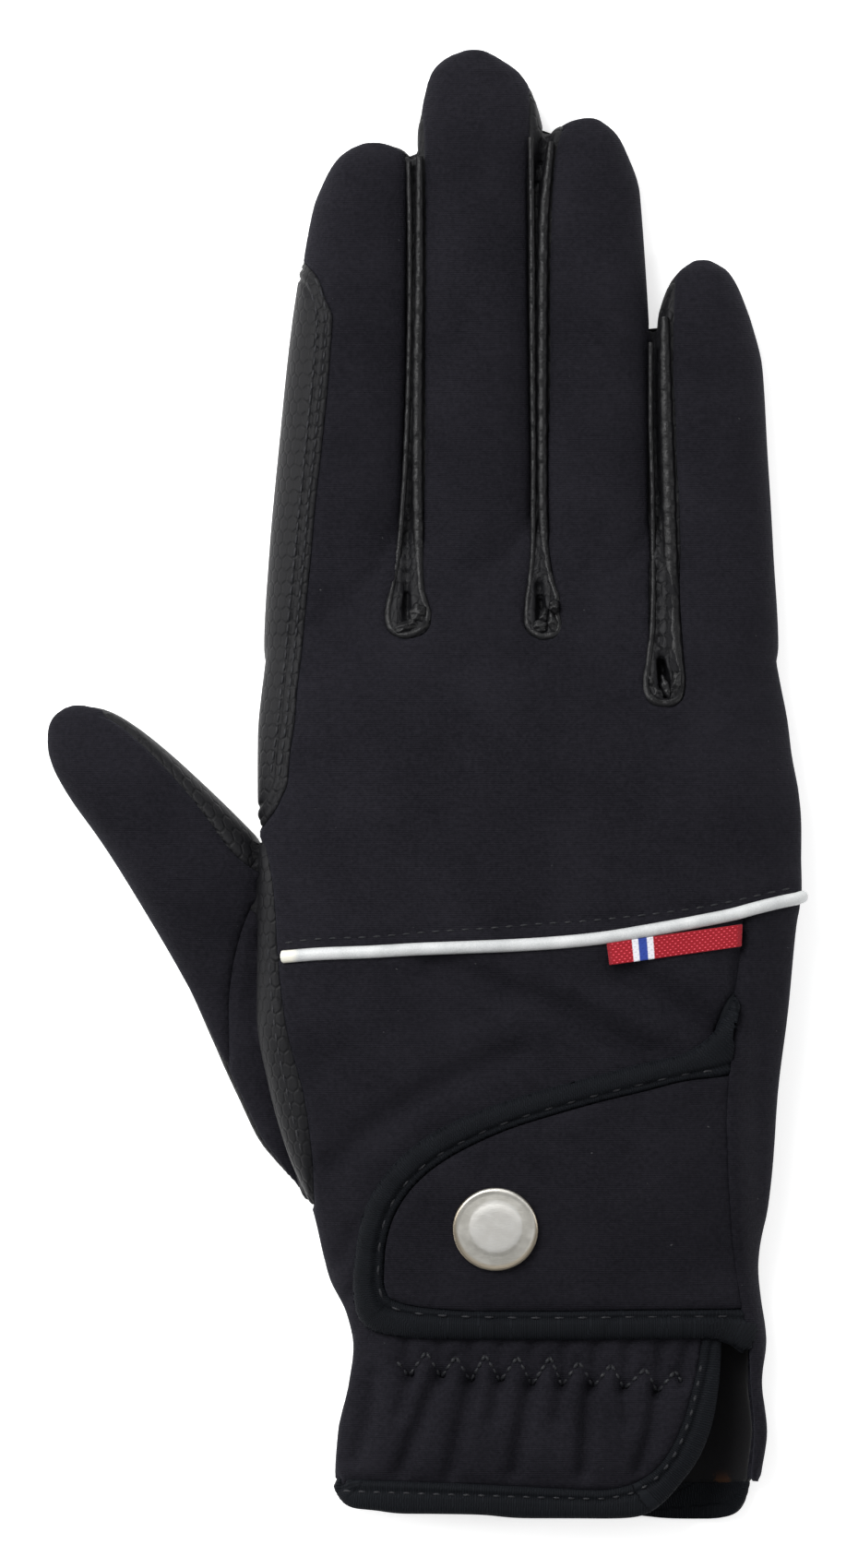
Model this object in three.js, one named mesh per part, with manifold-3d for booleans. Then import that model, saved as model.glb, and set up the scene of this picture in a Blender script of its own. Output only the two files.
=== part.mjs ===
// A right-hand riding glove that lies palm down: a stretch cloth back, a grip leather palm, leather walls
// between the fingers, a gathered wrist with a bound hem, and a flap that closes over the wrist's vent
// with a snap button. Lengths are millimetres. While it is modelled, x runs across the hand, y from the
// hem to the fingertips and z up from the surface it rests on. The finished group is moved so that the
// origin lies under the middle of the glove.

import * as THREE from 'three';
import { mergeVertices } from 'three/addons/utils/BufferGeometryUtils.js';
import Module from 'manifold-3d';

const wasm = await Module();
wasm.setup();

// Driving dimensions: the hand
const hemToKnuckles = 151.7;
const handThick = 23;
const indexWidth = 24.7;
const middleWidth = 23.4;
const ringWidth = 19.9;
const littleWidth = 21.3;
const handWidth = indexWidth + middleWidth + ringWidth + littleWidth;

// Driving dimensions: fingers and thumb
const indexLength = 87.4;
const middleLength = 103.5;
const ringLength = 91.7;
const littleLength = 67;
const fingerThick = 14.5;
const thumbLength = 92.5;
const thumbWidth = 22.8;
const thumbThick = 14;
const thumbSpread = 39.8;

// Driving dimensions: cloth, leather and seams
const clothWall = 1.2;
const leatherWall = 1;
const seamGap = 0.3;
const seamHeight = 5;
const patchWidth = 7.2;
const patchProud = 0.4;
const trimWidth = 5.6;

// Driving dimensions: troughs between the fingers
const slotWidth = 0.6;
const troughWidth = 3.4;
const troughLength = 12;
const troughDepth = 1.2;
const webRun = 20;
const slotFall = 10;
const slotOverrun = 4;

// Driving dimensions: wrist, flap and trims
const hemBand = 5.8;
const bindingProud = 0.6;
const bindingWall = 2.2;
const foldHeight = 0.9;
const foldCount = 9;
const flapLift = 0.9;
const flapThick = 1.3;
const flapBindingWidth = 4.8;
const flapBindingThick = 2;
const ventHemWidth = 3;
const ventHemProud = 2.2;
const ventBandFoot = 8;
const pipingRadius = 1.1;
const tabThick = 1;
const buttonDiameter = 14.8;
const buttonHeight = 2.4;
const postDiameter = 4;
const postHoleHeight = 12;

// Shape of the sections. flatDip is how far the round underside would reach below the surface that the
// glove rests on: it is flattened there. Below leastWide or leastHigh a hollow isn't carried on.
const roundness = 2.4;
const sideShare = 0.42;
const flatDip = 2;
const leastWide = 1.6;
const leastHigh = 0.8;
const tipStart = 0.9;
const handTurns = { upper: 14, lower: 6 };
const digitTurns = { upper: 8, lower: 4 };
const hollowTurns = { upper: 12, lower: 6 };
const digitHollowTurns = { upper: 6, lower: 4 };
const foldTurns = { upper: 36, lower: 6 };
const pipingTurns = { upper: 3, lower: 3 };
const pipingSteps = 16;
const capSides = 16;
const postHoleSides = 10;
const far = 400;

// Sections of the hand. along is a share of hemToKnuckles, left and right of handWidth, low and high of
// handThick, and side is the share of the height at which the thumb edge stands out furthest.
const handRows = [
  { along: -0.013, left: -0.361, right: 0.4525, low: 0, high: 0.6, side: 0.42 },
  { along: 0.05, left: -0.363, right: 0.456, low: 0, high: 0.63, side: 0.42 },
  { along: 0.1, left: -0.3575, right: 0.467, low: 0, high: 0.65, side: 0.42 },
  { along: 0.156, left: -0.336, right: 0.456, low: 0, high: 0.64, side: 0.42 },
  { along: 0.198, left: -0.327, right: 0.458, low: 0, high: 0.63, side: 0.42 },
  { along: 0.235, left: -0.34, right: 0.454, low: 0, high: 0.64, side: 0.42 },
  { along: 0.277, left: -0.374, right: 0.451, low: 0, high: 0.68, side: 0.45 },
  { along: 0.3565, left: -0.408, right: 0.4775, low: 0, high: 0.79, side: 0.52 },
  { along: 0.42, left: -0.454, right: 0.49, low: 0, high: 0.86, side: 0.54 },
  { along: 0.494, left: -0.49, right: 0.499, low: 0, high: 0.93, side: 0.54 },
  { along: 0.578, left: -0.5135, right: 0.515, low: 0, high: 0.98, side: 0.54 },
  { along: 0.6835, left: -0.5116, right: 0.533, low: 0, high: 1, side: 0.54 },
  { along: 0.715, left: -0.51, right: 0.551, low: 0, high: 1, side: 0.54 },
  { along: 0.789, left: -0.507, right: 0.542, low: 0, high: 0.98, side: 0.5 },
  { along: 0.8945, left: -0.508, right: 0.522, low: 0, high: 0.91, side: 0.42 },
  { along: 0.985, left: -0.495, right: 0.495, low: 0, high: 0.81, side: 0.42 },
  { along: 1.063, left: -0.482, right: 0.482, low: 0.1, high: 0.68, side: 0.42 },
  { along: 1.1635, left: -0.455, right: 0.455, low: 0.24, high: 0.4, side: 0.42 },
];

// Sections of each finger from the knuckles to its tip. along is a share of the finger's length, left and
// right of its width, measured from the middle of its root.
const fingers = {
  index: {
    width: indexWidth,
    length: indexLength,
    rows: [
      { along: -0.15, left: -0.36, right: 0.36 },
      { along: 0, left: -0.5, right: 0.5 },
      { along: 0.183, left: -0.458, right: 0.5 },
      { along: 0.549, left: -0.328, right: 0.539 },
      { along: 0.861, left: -0.167, right: 0.555 },
      { along: 0.916, left: -0.095, right: 0.555 },
      { along: 0.965, left: 0, right: 0.545 },
      { along: 0.989, left: 0.092, right: 0.44 },
      { along: 1, left: 0.205, right: 0.31 },
    ],
  },
  middle: {
    width: middleWidth,
    length: middleLength,
    rows: [
      { along: -0.15, left: -0.36, right: 0.36 },
      { along: 0, left: -0.5, right: 0.5 },
      { along: 0.155, left: -0.5, right: 0.473 },
      { along: 0.464, left: -0.459, right: 0.473 },
      { along: 0.773, left: -0.438, right: 0.459 },
      { along: 0.85, left: -0.425, right: 0.527 },
      { along: 0.912, left: -0.377, right: 0.466 },
      { along: 0.958, left: -0.325, right: 0.36 },
      { along: 0.986, left: -0.205, right: 0.185 },
      { along: 1, left: -0.06, right: 0.06 },
    ],
  },
  ring: {
    width: ringWidth,
    length: ringLength,
    rows: [
      { along: -0.15, left: -0.36, right: 0.36 },
      { along: 0, left: -0.5, right: 0.5 },
      { along: 0.175, left: -0.532, right: 0.5 },
      { along: 0.524, left: -0.532, right: 0.444 },
      { along: 0.855, left: -0.524, right: 0.371 },
      { along: 0.925, left: -0.484, right: 0.275 },
      { along: 0.965, left: -0.452, right: 0.177 },
      { along: 0.981, left: -0.38, right: 0.113 },
      { along: 1, left: -0.2, right: -0.06 },
    ],
  },
  little: {
    width: littleWidth,
    length: littleLength,
    rows: [
      { along: -0.15, left: -0.36, right: 0.36 },
      { along: 0, left: -0.5, right: 0.5 },
      { along: 0.239, left: -0.493, right: 0.455 },
      { along: 0.477, left: -0.5, right: 0.418 },
      { along: 0.716, left: -0.508, right: 0.365 },
      { along: 0.804, left: -0.508, right: 0.301 },
      { along: 0.883, left: -0.44, right: 0.227 },
      { along: 0.945, left: -0.4, right: 0.146 },
      { along: 0.979, left: -0.313, right: 0.077 },
      { along: 1, left: -0.19, right: -0.06 },
    ],
  },
};

// Height of every finger along its length: shares of fingerThick
const fingerHeights = [
  { along: -0.15, low: 0.2, high: 0.75 },
  { along: 0, low: 0, high: 0.98 },
  { along: 0.2, low: 0, high: 1 },
  { along: 0.5, low: 0, high: 0.97 },
  { along: 0.75, low: 0, high: 0.93 },
  { along: 0.88, low: 0, high: 0.86 },
  { along: 0.94, low: 0.03, high: 0.77 },
  { along: 0.975, low: 0.12, high: 0.66 },
  { along: 1, low: 0.28, high: 0.5 },
];

// Sections of the thumb from its root under the hand to its tip: shares of thumbLength, thumbWidth and
// thumbThick
const thumbRows = [
  { along: 0, left: -0.948, right: 0.386, low: 0.25, high: 0.6 },
  { along: 0.125, left: -0.948, right: 0.492, low: 0.08, high: 0.64 },
  { along: 0.239, left: -0.85, right: 0.562, low: 0, high: 0.7 },
  { along: 0.349, left: -0.73, right: 0.576, low: 0, high: 0.75 },
  { along: 0.458, left: -0.604, right: 0.562, low: 0, high: 0.86 },
  { along: 0.6, left: -0.495, right: 0.53, low: 0, high: 1 },
  { along: 0.779, left: -0.398, right: 0.456, low: 0, high: 0.95 },
  { along: 0.891, left: -0.344, right: 0.365, low: 0, high: 0.84 },
  { along: 0.938, left: -0.302, right: 0.295, low: 0.04, high: 0.76 },
  { along: 0.9775, left: -0.211, right: 0.154, low: 0.14, high: 0.63 },
  { along: 1, left: -0.105, right: 0.07, low: 0.28, high: 0.5 },
];
const thumbRoot = { across: -0.2285, along: 0.453 };
const thumbJoin = { from: 0.345, to: 0.86 };

// Lines on the glove as it is seen from above: across is a share of handWidth, along of hemToKnuckles
const pipingLine = [
  { across: -0.56, along: 0.64 },
  { across: -0.385, along: 0.649 },
  { across: -0.2, along: 0.654 },
  { across: -0.02, along: 0.659 },
  { across: 0.15, along: 0.667 },
  { across: 0.3, along: 0.681 },
  { across: 0.42, along: 0.695 },
  { across: 0.5, along: 0.705 },
  { across: 0.62, along: 0.721 },
];
const sidePanelEdge = [
  { across: 0.432, along: 0.78 },
  { across: 0.426, along: 0.678 },
  { across: 0.413, along: 0.6 },
  { across: 0.396, along: 0.545 },
  { across: 0.393, along: 0.47 },
  { across: 0.397, along: 0.367 },
  { across: 0.406, along: 0.293 },
  { across: 0.429, along: 0.219 },
  { across: 0.443, along: 0.146 },
  { across: 0.447, along: 0.103 },
  { across: 0.442, along: 0.024 },
  { across: 0.44, along: -0.05 },
];
const ventEdge = [
  { across: 0.409, along: 0.6 },
  { across: 0.388, along: 0.52 },
  { across: 0.384, along: 0.44 },
  { across: 0.384, along: 0.3 },
  { across: 0.387, along: 0.209 },
  { across: 0.379, along: 0.14 },
  { across: 0.365, along: 0.101 },
  { across: 0.343, along: 0.072 },
  { across: 0.309, along: 0.042 },
  { across: 0.268, along: 0.018 },
  { across: 0.223, along: -0.001 },
  { across: 0.2, along: -0.05 },
];
const ventBandEdge = [
  { across: 0.399, along: 0.6 },
  { across: 0.372, along: 0.52 },
  { across: 0.36, along: 0.4 },
  { across: 0.356, along: 0.262 },
  { across: 0.342, along: 0.182 },
  { across: 0.313, along: 0.114 },
  { across: 0.286, along: 0.08 },
  { across: 0.25, along: 0.055 },
  { across: 0.205, along: 0.041 },
];
const flapEdge = [
  { across: 0.304, along: 0.533 },
  { across: 0.151, along: 0.512 },
  { across: 0.062, along: 0.498 },
  { across: -0.028, along: 0.482 },
  { across: -0.117, along: 0.462 },
  { across: -0.189, along: 0.439 },
  { across: -0.243, along: 0.412 },
  { across: -0.282, along: 0.383 },
  { across: -0.307, along: 0.351 },
  { across: -0.32, along: 0.314 },
  { across: -0.325, along: 0.277 },
  { across: -0.32, along: 0.246 },
  { across: -0.304, along: 0.225 },
  { across: -0.261, along: 0.213 },
  { across: -0.189, along: 0.209 },
  { across: 0.34, along: 0.209 },
];
const flapTopCorner = { across: 0.38, along: 0.547 };
const flapLowCorner = { across: 0.412, along: 0.193 };
const tabOutline = [
  { across: 0.16, along: 0.6615 },
  { across: 0.42, along: 0.68 },
  { across: 0.42, along: 0.656 },
  { across: 0.169, along: 0.6355 },
];
const buttonPlace = { across: -0.051, along: 0.339 };

// Widths of the leather patch along the index finger: shares of its length up the edge and of patchWidth
const patchLow = 0.797;
const patchHigh = 1.44;
const patchRows = [
  { along: 0, wide: 0.25 },
  { along: 0.07, wide: 0.62 },
  { along: 0.15, wide: 0.72 },
  { along: 0.35, wide: 0.9 },
  { along: 0.6, wide: 1 },
  { along: 0.9, wide: 0.9 },
  { along: 0.97, wide: 0.6 },
  { along: 1, wide: 0.3 },
];

// Widths of the leather trim that follows the hand's edge over the thumb: shares of trimWidth, with along
// as a share of hemToKnuckles
const trimRows = [
  { along: 0.345, wide: 0.25 },
  { along: 0.409, wide: 0.57 },
  { along: 0.457, wide: 0.91 },
  { along: 0.494, wide: 1 },
  { along: 0.531, wide: 0.9 },
  { along: 0.605, wide: 0.77 },
  { along: 0.647, wide: 0.57 },
  { along: 0.705, wide: 0.46 },
  { along: 0.757, wide: 0.28 },
  { along: 0.789, wide: 0.22 },
];

// The three gaps between fingers. back is how far the leather reaches below the knuckles, as a share of
// troughLength; the strips are the leather's widths on each side of the gap, as shares of troughWidth.
// stripReach is how far they run up the longer finger, as a share of its length, and bulgeRun how far the
// bulge round the closed end runs, as a share of troughLength.
const stripReach = 0.93;
const bulgeRun = 1.6;
const gaps = [
  { leftFinger: 'index', rightFinger: 'middle', back: -0.1, leftStrip: 0.34, rightStrip: 0.56, bulge: 1.05 },
  { leftFinger: 'middle', rightFinger: 'ring', back: -0.1, leftStrip: 0.42, rightStrip: 0.7, bulge: 0.95 },
  { leftFinger: 'ring', rightFinger: 'little', back: 0.82, leftStrip: 0.34, rightStrip: 1.12, bulge: 1.15 },
];

// Opening of the trough from its closed end: shares of troughLength and troughWidth
const troughRows = [
  { along: 0, wide: 0.35 },
  { along: 0.12, wide: 0.8 },
  { along: 0.3, wide: 1 },
  { along: 0.6, wide: 0.55 },
  { along: 1, wide: 0.18 },
];

// Closed end of the leather round a trough: shares of the bulge to each side and of troughLength
const heelRows = [
  { out: -1, up: 0.333 },
  { out: -0.75, up: 0.067 },
  { out: 0, up: 0 },
  { out: 0.75, up: 0.067 },
  { out: 1, up: 0.333 },
];

// Gathers of the wrist: along is a share of hemToKnuckles, swell a share of foldHeight
const foldRows = [
  { along: -0.013, swell: 0 },
  { along: 0.038, swell: 0.45 },
  { along: 0.07, swell: 0.85 },
  { along: 0.105, swell: 1 },
  { along: 0.14, swell: 1 },
  { along: 0.17, swell: 0.6 },
  { along: 0.215, swell: 0 },
];
const foldSlant = 0.25;
const foldWander = { along: 40, across: 7 };
const foldTuck = 0.5;

// Seams of the thumb in its own frame: shares of thumbWidth and thumbLength
const thumbStripSeam = [
  { across: 0.0, along: 1.05 },
  { across: 0.204, along: 0.974 },
  { across: 0.281, along: 0.931 },
  { across: 0.33, along: 0.875 },
  { across: 0.356, along: 0.78 },
  { across: 0.351, along: 0.68 },
  { across: 0.33, along: 0.606 },
  { across: 0.379, along: 0.536 },
  { across: 0.5, along: 0.45 },
];
const thumbGussetSeam = [
  { across: 0.7, along: 0.56 },
  { across: 0.42, along: 0.528 },
  { across: 0.246, along: 0.505 },
  { across: -0.014, along: 0.472 },
  { across: -0.246, along: 0.431 },
  { across: -0.449, along: 0.382 },
  { across: -0.639, along: 0.33 },
  { across: -0.808, along: 0.287 },
  { across: -1.1, along: 0.22 },
];

// Profile of the snap cap from its underside round its rim to its axis: shares of its radius and height
const capProfile = [
  { out: 0.92, up: 0 },
  { out: 1, up: 0.4 },
  { out: 0.93, up: 0.95 },
  { out: 0.83, up: 0.95 },
  { out: 0.74, up: 0.62 },
  { out: 0, up: 0.62 },
];

// Materials
const cloth = new THREE.MeshStandardMaterial({ color: 0x1b1b20, roughness: 0.9, metalness: 0 });
const leather = new THREE.MeshStandardMaterial({ color: 0x28282b, roughness: 0.65, metalness: 0 });
const elastic = new THREE.MeshStandardMaterial({ color: 0x1e1f28, roughness: 0.75, metalness: 0 });
const reflective = new THREE.MeshStandardMaterial({ color: 0xb4b4b2, roughness: 0.5, metalness: 0.1 });
const redWeave = new THREE.MeshStandardMaterial({ color: 0xc01530, roughness: 0.8, metalness: 0 });
const nickel = new THREE.MeshStandardMaterial({ color: 0xb9b4aa, roughness: 0.35, metalness: 1 });

// Straight-line reading of a table: the value of a column at a place along it
function readTable(rows, along, column) {
  const last = rows.length - 1;
  let i = 0;
  while (i < last - 1 && along > rows[i + 1].along) i += 1;
  const share = THREE.MathUtils.clamp((along - rows[i].along) / (rows[i + 1].along - rows[i].along), 0, 1);
  return rows[i][column] + share * (rows[i + 1][column] - rows[i][column]);
}

// A closed geometry as a solid that can be joined and cut
function toSolid(geometry) {
  const bare = geometry.clone();
  bare.deleteAttribute('normal');
  bare.deleteAttribute('uv');
  const merged = mergeVertices(bare, 1e-4);
  const mesh = new wasm.Mesh({
    numProp: 3,
    vertProperties: new Float32Array(merged.attributes.position.array),
    triVerts: new Uint32Array(merged.index.array),
  });
  return new wasm.Manifold(mesh);
}

// A skin over rings of equal count, closed by a fan at each end
function loft(rings) {
  const count = rings[0].length;
  const points = rings.flat();
  const faces = [];
  for (let r = 0; r < rings.length - 1; r += 1) {
    for (let i = 0; i < count; i += 1) {
      const a = r * count + i;
      const b = r * count + (i + 1) % count;
      faces.push(a, a + count, b + count, a, b + count, b);
    }
  }
  const ends = [rings[0], rings[rings.length - 1]];
  ends.forEach((ring, end) => {
    const centre = ring.reduce((sum, p) => sum.add(p), new THREE.Vector3()).divideScalar(count);
    const first = end === 0 ? 0 : points.length - 1 - count;
    const hub = points.push(centre) - 1;
    for (let i = 0; i < count; i += 1) {
      const a = first + i;
      const b = first + (i + 1) % count;
      faces.push(hub, end === 0 ? a : b, end === 0 ? b : a);
    }
  });
  const geometry = new THREE.BufferGeometry().setFromPoints(points);
  geometry.setIndex(faces);
  return toSolid(geometry);
}

// Angles round a section, with their own even steps over its upper and its lower half
function turns({ upper, lower }) {
  const over = Array.from({ length: upper }, (unused, i) => (i / upper) * Math.PI);
  const under = Array.from({ length: lower }, (unused, i) => (1 + i / lower) * Math.PI);
  return [...over, ...under];
}

// The rounded outline of a section at y, swollen by grow. lift raises its upper side.
function sectionRing(section, y, angles, grow, lift = () => 0) {
  const left = section.left - grow;
  const right = section.right + grow;
  const middle = (left + right) / 2;
  const half = (right - left) / 2;
  const floor = Math.max(0, -grow);
  return angles.map((angle) => {
    const c = Math.cos(angle);
    const s = Math.sin(angle);
    const x = middle + half * Math.sign(c) * Math.abs(c) ** (2 / roundness);
    const side = c < 0 ? section.leftSide : section.rightSide;
    const reach = s > 0 ? section.high + grow - side : side - section.low + grow;
    const z = side + reach * Math.sign(s) * Math.abs(s) ** (2 / roundness);
    return new THREE.Vector3(x, y, Math.max(z, floor) + Math.max(s, 0) ** 0.5 * lift(x, y));
  });
}

function handSection(along) {
  const high = readTable(handRows, along, 'high') * handThick;
  return {
    left: readTable(handRows, along, 'left') * handWidth,
    right: readTable(handRows, along, 'right') * handWidth,
    low: readTable(handRows, along, 'low') * handThick - flatDip,
    high,
    leftSide: readTable(handRows, along, 'side') * high,
    rightSide: sideShare * high,
  };
}

// Height of the back of the hand at a place, when it is swollen by grow
function backHeight(x, y, grow) {
  const section = handSection(y / hemToKnuckles);
  const middle = (section.left + section.right) / 2;
  const half = (section.right - section.left) / 2 + grow;
  const out = Math.min(Math.abs(x - middle) / half, 1);
  const side = x < middle ? section.leftSide : section.rightSide;
  return side + (section.high + grow - side) * (1 - out ** roundness) ** (1 / roundness);
}

// The hand's form, swollen by grow. A hollow one runs out through the wrist.
function handLoft(grow, sides, from = -1) {
  const rows = handRows.filter((row) => row.along > from);
  const angles = turns(sides);
  const rings = rows.map(({ along }) => sectionRing(handSection(along), along * hemToKnuckles, angles, grow));
  if (grow < 0) {
    rings.unshift(rings[0].map((p) => new THREE.Vector3(p.x, p.y - far, p.z)));
  }
  return loft(rings);
}

// Fingers stand side by side along the knuckles
let rootStart = -handWidth / 2;
Object.values(fingers).forEach((finger) => {
  finger.middle = rootStart + finger.width / 2;
  rootStart += finger.width;
});

// A finger or thumb: sections along its length, in its own frame. The hollow one is shorter by its wall.
function digitLoft(rows, length, width, thick, heights, grow, sides) {
  const reach = length + Math.min(grow, 0);
  const rings = [];
  rows.forEach((row) => {
    const low = readTable(heights, row.along, 'low') * thick - (row.along < tipStart ? flatDip : 0);
    const high = readTable(heights, row.along, 'high') * thick;
    const side = Math.max(low, 0) + sideShare * (high - Math.max(low, 0));
    const section = {
      left: row.left * width,
      right: row.right * width,
      low,
      high,
      leftSide: side,
      rightSide: side,
    };
    const wide = section.right - section.left + 2 * grow;
    const tall = high - Math.max(low, 0) + 2 * grow;
    if (wide > leastWide && tall > leastHigh) {
      rings.push(sectionRing(section, row.along * reach, turns(sides), grow));
    }
  });
  return loft(rings);
}

function fingerLoft(name, grow, sides) {
  const { rows, length, width, middle } = fingers[name];
  return digitLoft(rows, length, width, fingerThick, fingerHeights, grow, sides)
    .translate([middle, hemToKnuckles, 0]);
}

function placeThumb(solid) {
  return solid.rotate([0, 0, thumbSpread])
    .translate([thumbRoot.across * handWidth, thumbRoot.along * hemToKnuckles, 0]);
}

function thumbLoft(grow, sides) {
  return placeThumb(digitLoft(thumbRows, thumbLength, thumbWidth, thumbThick, thumbRows, grow, sides));
}

// The gathered wrist: the hand's sections, with slanting folds raised over the back. Its last section is
// tucked just inside the hand that it joins.
function foldLift(x, y) {
  const along = y / hemToKnuckles;
  const section = handSection(along);
  const share = (x - section.left) / (section.right - section.left);
  const wander = Math.sin(along * foldWander.along + share * foldWander.across);
  const phase = share * foldCount + foldSlant * wander;
  return foldHeight * readTable(foldRows, along, 'swell') * (0.5 - 0.5 * Math.cos(2 * Math.PI * phase));
}

function foldLoft() {
  const angles = turns(foldTurns);
  const rings = foldRows.map((row) => {
    const tuck = row === foldRows.at(-1) ? foldTuck : 0;
    const section = handSection(row.along);
    return sectionRing(section, row.along * hemToKnuckles, angles, -tuck, foldLift);
  });
  return loft(rings);
}

// Plan points in millimetres
function onHand(line) {
  return line.map((p) => new THREE.Vector2(p.across * handWidth, p.along * hemToKnuckles));
}

function onThumb(line) {
  return line.map((p) => new THREE.Vector2(p.across * thumbWidth, p.along * thumbLength));
}

// An upright prism on a plan outline
function prism(points, low = -far, high = far) {
  const shape = new THREE.Shape(points);
  const geometry = new THREE.ExtrudeGeometry(shape, { depth: high - low, bevelEnabled: false, steps: 1 });
  geometry.translate(0, 0, low);
  return toSolid(geometry);
}

// The same line moved sideways by an even distance, to its left where the distance is positive
function offsetLine(points, distance) {
  return points.map((point, i) => {
    const before = points[Math.max(i - 1, 0)];
    const after = points[Math.min(i + 1, points.length - 1)];
    const into = (i === 0 ? after.clone().sub(point) : point.clone().sub(before)).normalize();
    const out = (i === points.length - 1 ? into.clone() : after.clone().sub(point)).normalize();
    const normalIn = new THREE.Vector2(-into.y, into.x);
    const miter = normalIn.clone().add(new THREE.Vector2(-out.y, out.x)).normalize();
    const stretch = 1 / Math.max(miter.dot(normalIn), 0.5);
    return point.clone().addScaledVector(miter, distance * stretch);
  });
}

// The narrow cut that a seam leaves between two pieces
function seamCut(points, width = seamGap) {
  return prism([...offsetLine(points, width / 2), ...offsetLine(points, -width / 2).reverse()]);
}

// A block that reaches past the glove on every side but those that are given
function block({ end = far, bottom = -far, top = far }) {
  const geometry = new THREE.BoxGeometry(2 * far, end + far, top - bottom);
  geometry.translate(0, (end - far) / 2, (bottom + top) / 2);
  return toSolid(geometry);
}

// Plan areas beside a line that runs up or down the glove
function areaRight(points) {
  const lastCorner = new THREE.Vector2(far, points.at(-1).y);
  return prism([...points, lastCorner, new THREE.Vector2(far, points[0].y)]);
}

function areaAbove(points) {
  const lastCorner = new THREE.Vector2(points.at(-1).x, far);
  return prism([...points, lastCorner, new THREE.Vector2(points[0].x, far)]);
}

// Where the edges of the digits and the hand lie at a height y above the hem
function handEdge(y, column) {
  return readTable(handRows, y / hemToKnuckles, column) * handWidth;
}

function fingerEdge(name, y, column) {
  const { rows, length, width, middle } = fingers[name];
  const along = THREE.MathUtils.clamp((y - hemToKnuckles) / length, 0, 1);
  return middle + readTable(rows, along, column) * width;
}

function thumbSideEdge(y) {
  return y < hemToKnuckles ? handEdge(y, 'left') : fingerEdge('index', y, 'left');
}

// One gap between two fingers: the slot that parts them, and the leather area round it
function gapShapes(gap) {
  const end = hemToKnuckles - gap.back * troughLength;
  const lengths = [fingers[gap.leftFinger].length, fingers[gap.rightFinger].length];
  const reach = hemToKnuckles + Math.min(...lengths) + slotOverrun;
  const longer = hemToKnuckles + Math.max(...lengths) * stripReach;
  const centre = (y) => {
    return (fingerEdge(gap.leftFinger, y, 'right') + fingerEdge(gap.rightFinger, y, 'left')) / 2;
  };
  const stations = troughRows.map((row) => ({
    y: end + row.along * troughLength,
    half: Math.max(row.wide * troughWidth, slotWidth) / 2,
  }));
  [1 / 3, 2 / 3, 1].forEach((part) => {
    const y = THREE.MathUtils.lerp(end + troughLength, reach, part);
    stations.push({ y, half: slotWidth / 2 });
  });
  const surface = backHeight(centre(end), Math.min(end, hemToKnuckles), 0) - troughDepth;
  const slot = (grow) => {
    const rings = stations.map((station, i) => {
      const y = i === 0 ? station.y - grow : station.y;
      const drop = Math.min((station.y - end) / webRun, 1);
      const low = surface - drop * (surface + slotFall) - grow;
      const left = centre(station.y) - station.half - grow;
      const right = centre(station.y) + station.half + grow;
      const corners = [[right, low], [right, far], [left, far], [left, low]];
      return corners.map(([x, z]) => new THREE.Vector3(x, y, z));
    });
    return loft(rings);
  };
  const strip = (side, share) => {
    const finger = side < 0 ? gap.leftFinger : gap.rightFinger;
    const column = side < 0 ? 'right' : 'left';
    return [1, 0.8, 0.6, 0.4, 0.2, 0.1].map((part) => {
      const y = end + part * (longer - end);
      const swell = Math.max(0, 1 - (y - end) / (troughLength * bulgeRun));
      const wide = share + swell * Math.max(gap.bulge - share, 0);
      return new THREE.Vector2(fingerEdge(finger, y, column) + side * wide * troughWidth, y);
    });
  };
  const left = strip(-1, gap.leftStrip);
  const right = strip(1, gap.rightStrip).reverse();
  const floor = end - leatherWall - seamGap * 2;
  const heel = heelRows.map((row) => {
    return new THREE.Vector2(centre(end) + row.out * gap.bulge * troughWidth, floor + row.up * troughLength);
  });
  const besideTip = longer + leatherWall;
  const shorterLeft = fingers[gap.leftFinger].length < fingers[gap.rightFinger].length;
  const line = shorterLeft
    ? [...left, ...heel, ...right, new THREE.Vector2(centre(longer) - troughLength, besideTip)]
    : [new THREE.Vector2(centre(longer) + troughLength, besideTip), ...left, ...heel, ...right];
  return { slot, area: prism(line), cut: seamCut(line) };
}

const gapParts = gaps.map(gapShapes);

// The whole outer form and the hollow inside it
function join(solids) {
  return solids.reduce((sum, solid) => sum.add(solid));
}

const fingerNames = Object.keys(fingers);
const outerForm = gapParts.reduce(
  (form, gap) => form.subtract(gap.slot(0)),
  join([
    handLoft(0, handTurns, foldRows.at(-2).along),
    foldLoft(),
    thumbLoft(0, digitTurns),
    ...fingerNames.map((name) => fingerLoft(name, 0, digitTurns)),
  ]),
);
const hollow = gapParts.reduce(
  (form, gap) => form.subtract(gap.slot(leatherWall)),
  join([
    handLoft(-clothWall, hollowTurns),
    thumbLoft(-clothWall, digitHollowTurns),
    ...fingerNames.map((name) => fingerLoft(name, -clothWall, digitHollowTurns)),
  ]),
);
const shell = outerForm.subtract(hollow);

// Areas of the pieces, seen from above
const upperHalf = block({ bottom: seamHeight + seamGap / 2 });
const lowerHalf = block({ top: seamHeight - seamGap / 2 });
const besideThumb = handRows.map((row) => row.along)
  .filter((along) => along > thumbJoin.from && along < thumbJoin.to);
const thumbLine = [thumbJoin.from, ...besideThumb, thumbJoin.to].map((along) => {
  const y = along * hemToKnuckles;
  return new THREE.Vector2(handEdge(y, 'left') - seamGap, y);
});
const thumbOutline = [new THREE.Vector2(-far, thumbLine[0].y), ...thumbLine];
const thumbArea = prism([...thumbOutline, new THREE.Vector2(-far, far)]);
const thumbCut = seamCut(thumbOutline);

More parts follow.
